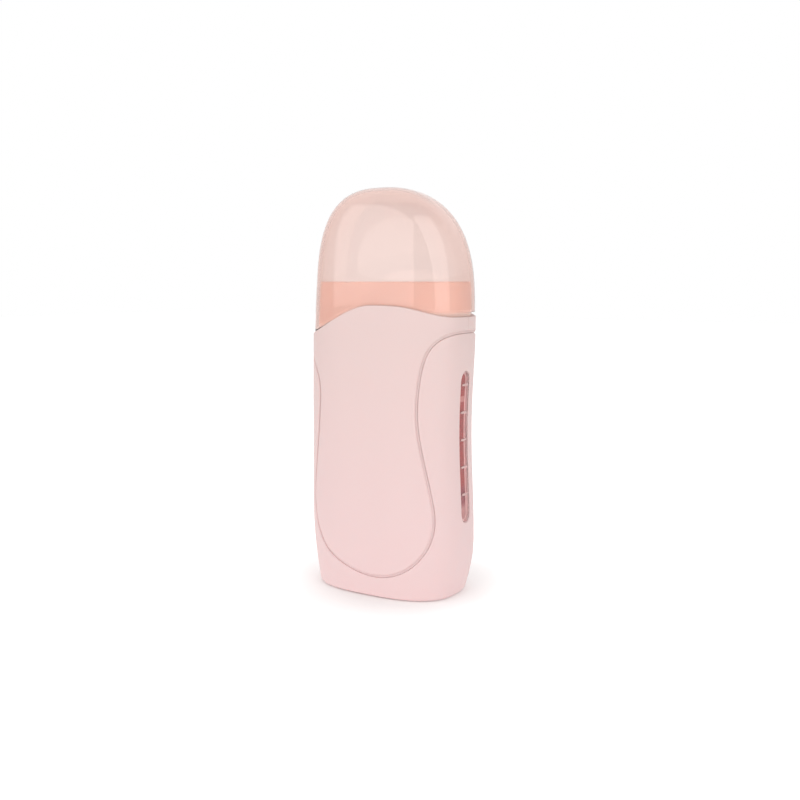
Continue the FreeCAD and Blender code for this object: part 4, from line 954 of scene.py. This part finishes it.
# The dark colour on the lens's edge is painted shadow of the gap between lens and frame.
GAP_SHADE_COLOUR, BACKING_COLOUR = (0.22, 0.08, 0.08), (0.33, 0.045, 0.040)
# Down through these heights the backing turns to other colours, and a paler band crosses it higher up
BACKING_STEPS = ((49.8, 51.6, (0.27, 0.045, 0.06)), (40.6, 43.2, (0.46, 0.23, 0.225)))
BAND_MIDDLE, BAND_HALF, BAND_COLOUR = 90.4, 1.3, (0.50, 0.22, 0.20)


def stadium(straight, steps):
    """Points of a level middle line and the way out from them, once round its ends and sides."""
    turn = np.linspace(-np.pi / 2, np.pi / 2, END_POINTS)
    end = np.full(END_POINTS, straight)
    side = np.linspace(straight, -straight, steps + 1)[1:-1]
    middle = np.concatenate([end, side, -end, -side, end[:1]])
    half = np.concatenate([np.stack([np.cos(turn), np.sin(turn)], -1), np.tile((0.0, 1.0), (steps - 1, 1))])
    return np.stack([middle, 0 * middle], -1), np.concatenate([half, -half, half[:1]])


def end_rings(centre, middle, away, profile):
    """Sheet of rings on the window end: a radius off a middle line, and a depth, for each."""
    return strip_of([(END, centre) + middle + radius * away for radius, depth in profile],
                    [depth for radius, depth in profile])[0]


def soft_edge(radius, face, edge):
    """Profile over a rounded edge, from the face round to the side."""
    return [(radius - back, face + deep) for back, deep in rounding(edge)]


def lens_sheets():
    """The lens: clear face, a dark band painted on its edge as the shadow of the gap round it, frosted side
    and flange, and tinted back; then the bars.
    """
    middle, away = stadium((WINDOW_HIGH - WINDOW_LOW) / 2 - WINDOW_HALF, LENS_STEPS)
    middle, away = middle[:, ::-1], away[:, ::-1]
    centre = (WINDOW_LOW + WINDOW_HIGH) / 2
    radius = WINDOW_HALF - LENS_FIT
    edge = soft_edge(radius, LENS_SUNK, LENS_ROUND)
    face = [(share * edge[0][0], LENS_SUNK) for share in even(FACE_ROWS)]
    # Dark band from partway round the edge down the side: painted shadow of the gap round the lens.
    gap_shade = edge[2:] + [(radius, LENS_GAP_SHADE_DEPTH)]
    flange = radius + LENS_FLANGE
    side = [gap_shade[-1], (radius, LENS_SEAT), (flange, LENS_SEAT), (flange, LENS_BACK), (radius, LENS_BACK),
            (radius - LENS_REAR_RIM, LENS_BACK)]
    back = [(share * (radius - LENS_REAR_RIM), LENS_BACK) for share in even(FACE_ROWS)[::-1]]
    sheets = [sheet(end_rings(centre, middle, away, rings), slot=slot)
              for slot, rings in ((0, face), (1, edge[:3]), (1, side), (2, back), (3, gap_shade))]
    middle, away = stadium(MARK_HALF_WIDTH - MARK_HALF_HEIGHT, MARK_STEPS)
    top = [(0.0, LENS_SUNK - MARK_PROUD)] + soft_edge(MARK_HALF_HEIGHT, LENS_SUNK - MARK_PROUD, MARK_PROUD)
    profile = top + [(MARK_HALF_HEIGHT, MARK_ROOT), (0.0, MARK_ROOT)]
    sheets += [sheet(end_rings(MARK_FIRST + step * MARK_STEP, middle, away, profile), slot=4)
               for step in range(MARK_COUNT)]
    return sheets


def with_band(colour, along, middle, half, paint):
    """Colour with a band of paint across an axis, its middle and half width in millimetres."""
    return blended(computed("COMPARE", along, middle * MM, half * MM), colour, scaled(paint))


def backing():
    """Rose behind the clear strip: darker under the lowest bar, pale round the lamp and in a band."""
    material, shader, place = start_material("window_backing")
    height = measure(place, "Z")
    cloud = noise(place, 500.0, detail=3.0)
    colour = mottled(cloud, BACKING_COLOUR, 0.85, 1.15)
    for low, high, paint in BACKING_STEPS:
        colour = blended(ranged(height, 1.0, 0.0, low * MM, high * MM), colour, scaled(paint))
    colour = with_band(colour, height, BAND_MIDDLE, BAND_HALF, BAND_COLOUR)
    finish(shader, colour, ranged(cloud, 0.38, 0.5), ((cloud, 10),))
    return material


make_piece("window_lens_strip", lens_sheets(), "body", ["window_lens"],
           [clear_plastic("window_plastic", WINDOW_TINT, WINDOW_DENSITY, WINDOW_SHADE, 0.05),
            moulded("window_side", LENS_SIDE_COLOUR, 0.5),
            backing(),
            moulded("window_gap_shade", GAP_SHADE_COLOUR, 0.5),
            moulded("bar_print", MARK_COLOUR, 0.45)])


# ==== cartridge well
# Deep oval pocket in dark pink heat-resistant plastic, open to the window on the right and to the
# heater plate behind.
def dress(material, *names):
    """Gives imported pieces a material."""
    for name in names:
        nodes[name].data.materials.clear()
        nodes[name].data.materials.append(material)


dress(moulded("well_plastic", (0.52, 0.13, 0.15), 0.4, through=0.1), "cartridge_well")


# ==== heating group
# An aluminium plate with a ceramic chip clamped to its back between two brass sheets in a sleeve of
# amber film; a thermostat and a thermal fuse are strapped beside it.
def rolled_metal(name, colour, roughness, stretch=(1.0, 1.0, 0.06), grain=1800.0):
    """Sheet or bar metal: fine lines along its rolling direction, with small changes of gloss."""
    material, shader, place = start_material(name)
    lines = noise(place, grain, detail=3.0, rough=0.6, stretch=stretch)
    cloud = noise(place, 120.0, detail=3.0)
    finish(shader, mottled(cloud, colour, 0.88, 1.05),
           ranged(lines, roughness - 0.08, roughness + 0.1), ((lines, 4),), Metallic=1.0)
    return material


def speckled(name, colour, spot, roughness, scale=1500.0):
    """Sintered or filled body with small dark or light grains."""
    material, shader, place = start_material(name)
    grain = noise(place, scale, detail=4.0, rough=0.7)
    spots = ranged(grain, 0.0, 1.0, 0.45, 0.7)
    finish(shader, blended(spots, scaled(colour), scaled(spot)),
           ranged(grain, roughness + 0.08, roughness - 0.05), ((grain, 6),))
    return material


dress(rolled_metal("rolled_aluminium", (0.80, 0.80, 0.81), 0.35), "heater_plate")
dress(speckled("chip_ceramic", (0.045, 0.045, 0.05), (0.12, 0.12, 0.125), 0.6), "ptc_element")
dress(rolled_metal("contact_brass", (0.80, 0.60, 0.30), 0.3), "ptc_electrodes")
dress(moulded("amber_film", (0.62, 0.28, 0.05), 0.25, 700.0), "ptc_insulation")
dress(rolled_metal("spring_steel", (0.52, 0.53, 0.55), 0.28, (0.06, 1.0, 1.0)), "ptc_clamp",
      "sensor_straps")
dress(speckled("black_resin", (0.018, 0.018, 0.02), (0.04, 0.04, 0.042), 0.45), "thermostat")
dress(rolled_metal("fuse_can", (0.74, 0.74, 0.72), 0.25, (1.0, 1.0, 0.1), 900.0), "thermal_fuse")
dress(rolled_metal("zinc_screw", (0.68, 0.69, 0.70), 0.3, (1.0, 0.3, 1.0), 2400.0), "heater_screws",
      "cover_screws")


# ==== mains inlet
# A black two-pin appliance inlet that the rear cover frames. Its resin is filled with fine grains,
# and its brass pins are nickel-plated.
dress(speckled("inlet_resin", (0.02, 0.02, 0.022), (0.045, 0.045, 0.05), 0.4, 2200.0), "inlet_socket")
dress(rolled_metal("nickel_plate", (0.78, 0.76, 0.72), 0.16, (1.0, 0.15, 1.0), 1500.0), "inlet_pins")


# ==== indicator
# A small circuit board behind the foot of the window. It carries a lamp, a dropper resistor with
# coloured rings and a diode with a pale one.
def laminate():
    """Green glass-fibre board: a fine square weave under the lacquer, one wave times another."""
    material, shader, place = start_material("green_laminate")
    waves = [add_node(place, "TexWave", place, Scale=420.0, bands_direction=axis,
                      Distortion=0.4).outputs[1] for axis in ("Y", "Z")]
    weave = computed("MULTIPLY", *waves)
    finish(shader, blended(weave, (0.012, 0.10, 0.045, 1), (0.03, 0.17, 0.07, 1)),
           ranged(weave, 0.22, 0.34, 0.0, 1.0), ((weave, 6),))
    return material


def banded(name, body, bands, roughness):
    """Small axial part with coloured rings: each has its middle and half width along Y."""
    material, shader, place = start_material(name)
    along = measure(place, "Y")
    cloud = noise(place, 1200.0)
    colour = mottled(cloud, body, 0.92, 1.05)
    for middle, half, paint in bands:
        colour = with_band(colour, along, middle, half, paint)
    finish(shader, colour, ranged(cloud, roughness - 0.05, roughness + 0.05), ((cloud, 4),))
    return material


dress(laminate(), "indicator_board")
dress(moulded("lamp_epoxy", (0.93, 0.78, 0.76), 0.25, through=0.4), "indicator_led")
dress(banded("dropper_lacquer", (0.60, 0.47, 0.28),
             ((-1.8, 0.3, (0.35, 0.02, 0.02)), (-0.6, 0.3, (0.02, 0.02, 0.02)),
              (0.6, 0.3, (0.65, 0.42, 0.02)), (1.9, 0.3, (0.5, 0.36, 0.1))), 0.35), "dropper_resistor")
dress(banded("diode_resin", (0.02, 0.02, 0.02), ((1.3, 0.3, (0.7, 0.7, 0.7)),), 0.4), "board_diode")


# ==== leads and feet
# Silicone-covered leads run behind the well, red on the way to the chip and white on the way back
# and to the lamp. Four rubber feet are pressed into the base.
dress(moulded("red_silicone", (0.50, 0.03, 0.025), 0.5, 900.0), "live_lead", "fuse_lead", "thermostat_lead")
dress(moulded("white_silicone", (0.80, 0.79, 0.76), 0.5, 900.0), "neutral_lead", "indicator_leads")
dress(speckled("foot_rubber", (0.20, 0.14, 0.14), (0.26, 0.19, 0.19), 0.75, 1800.0), "rubber_feet")
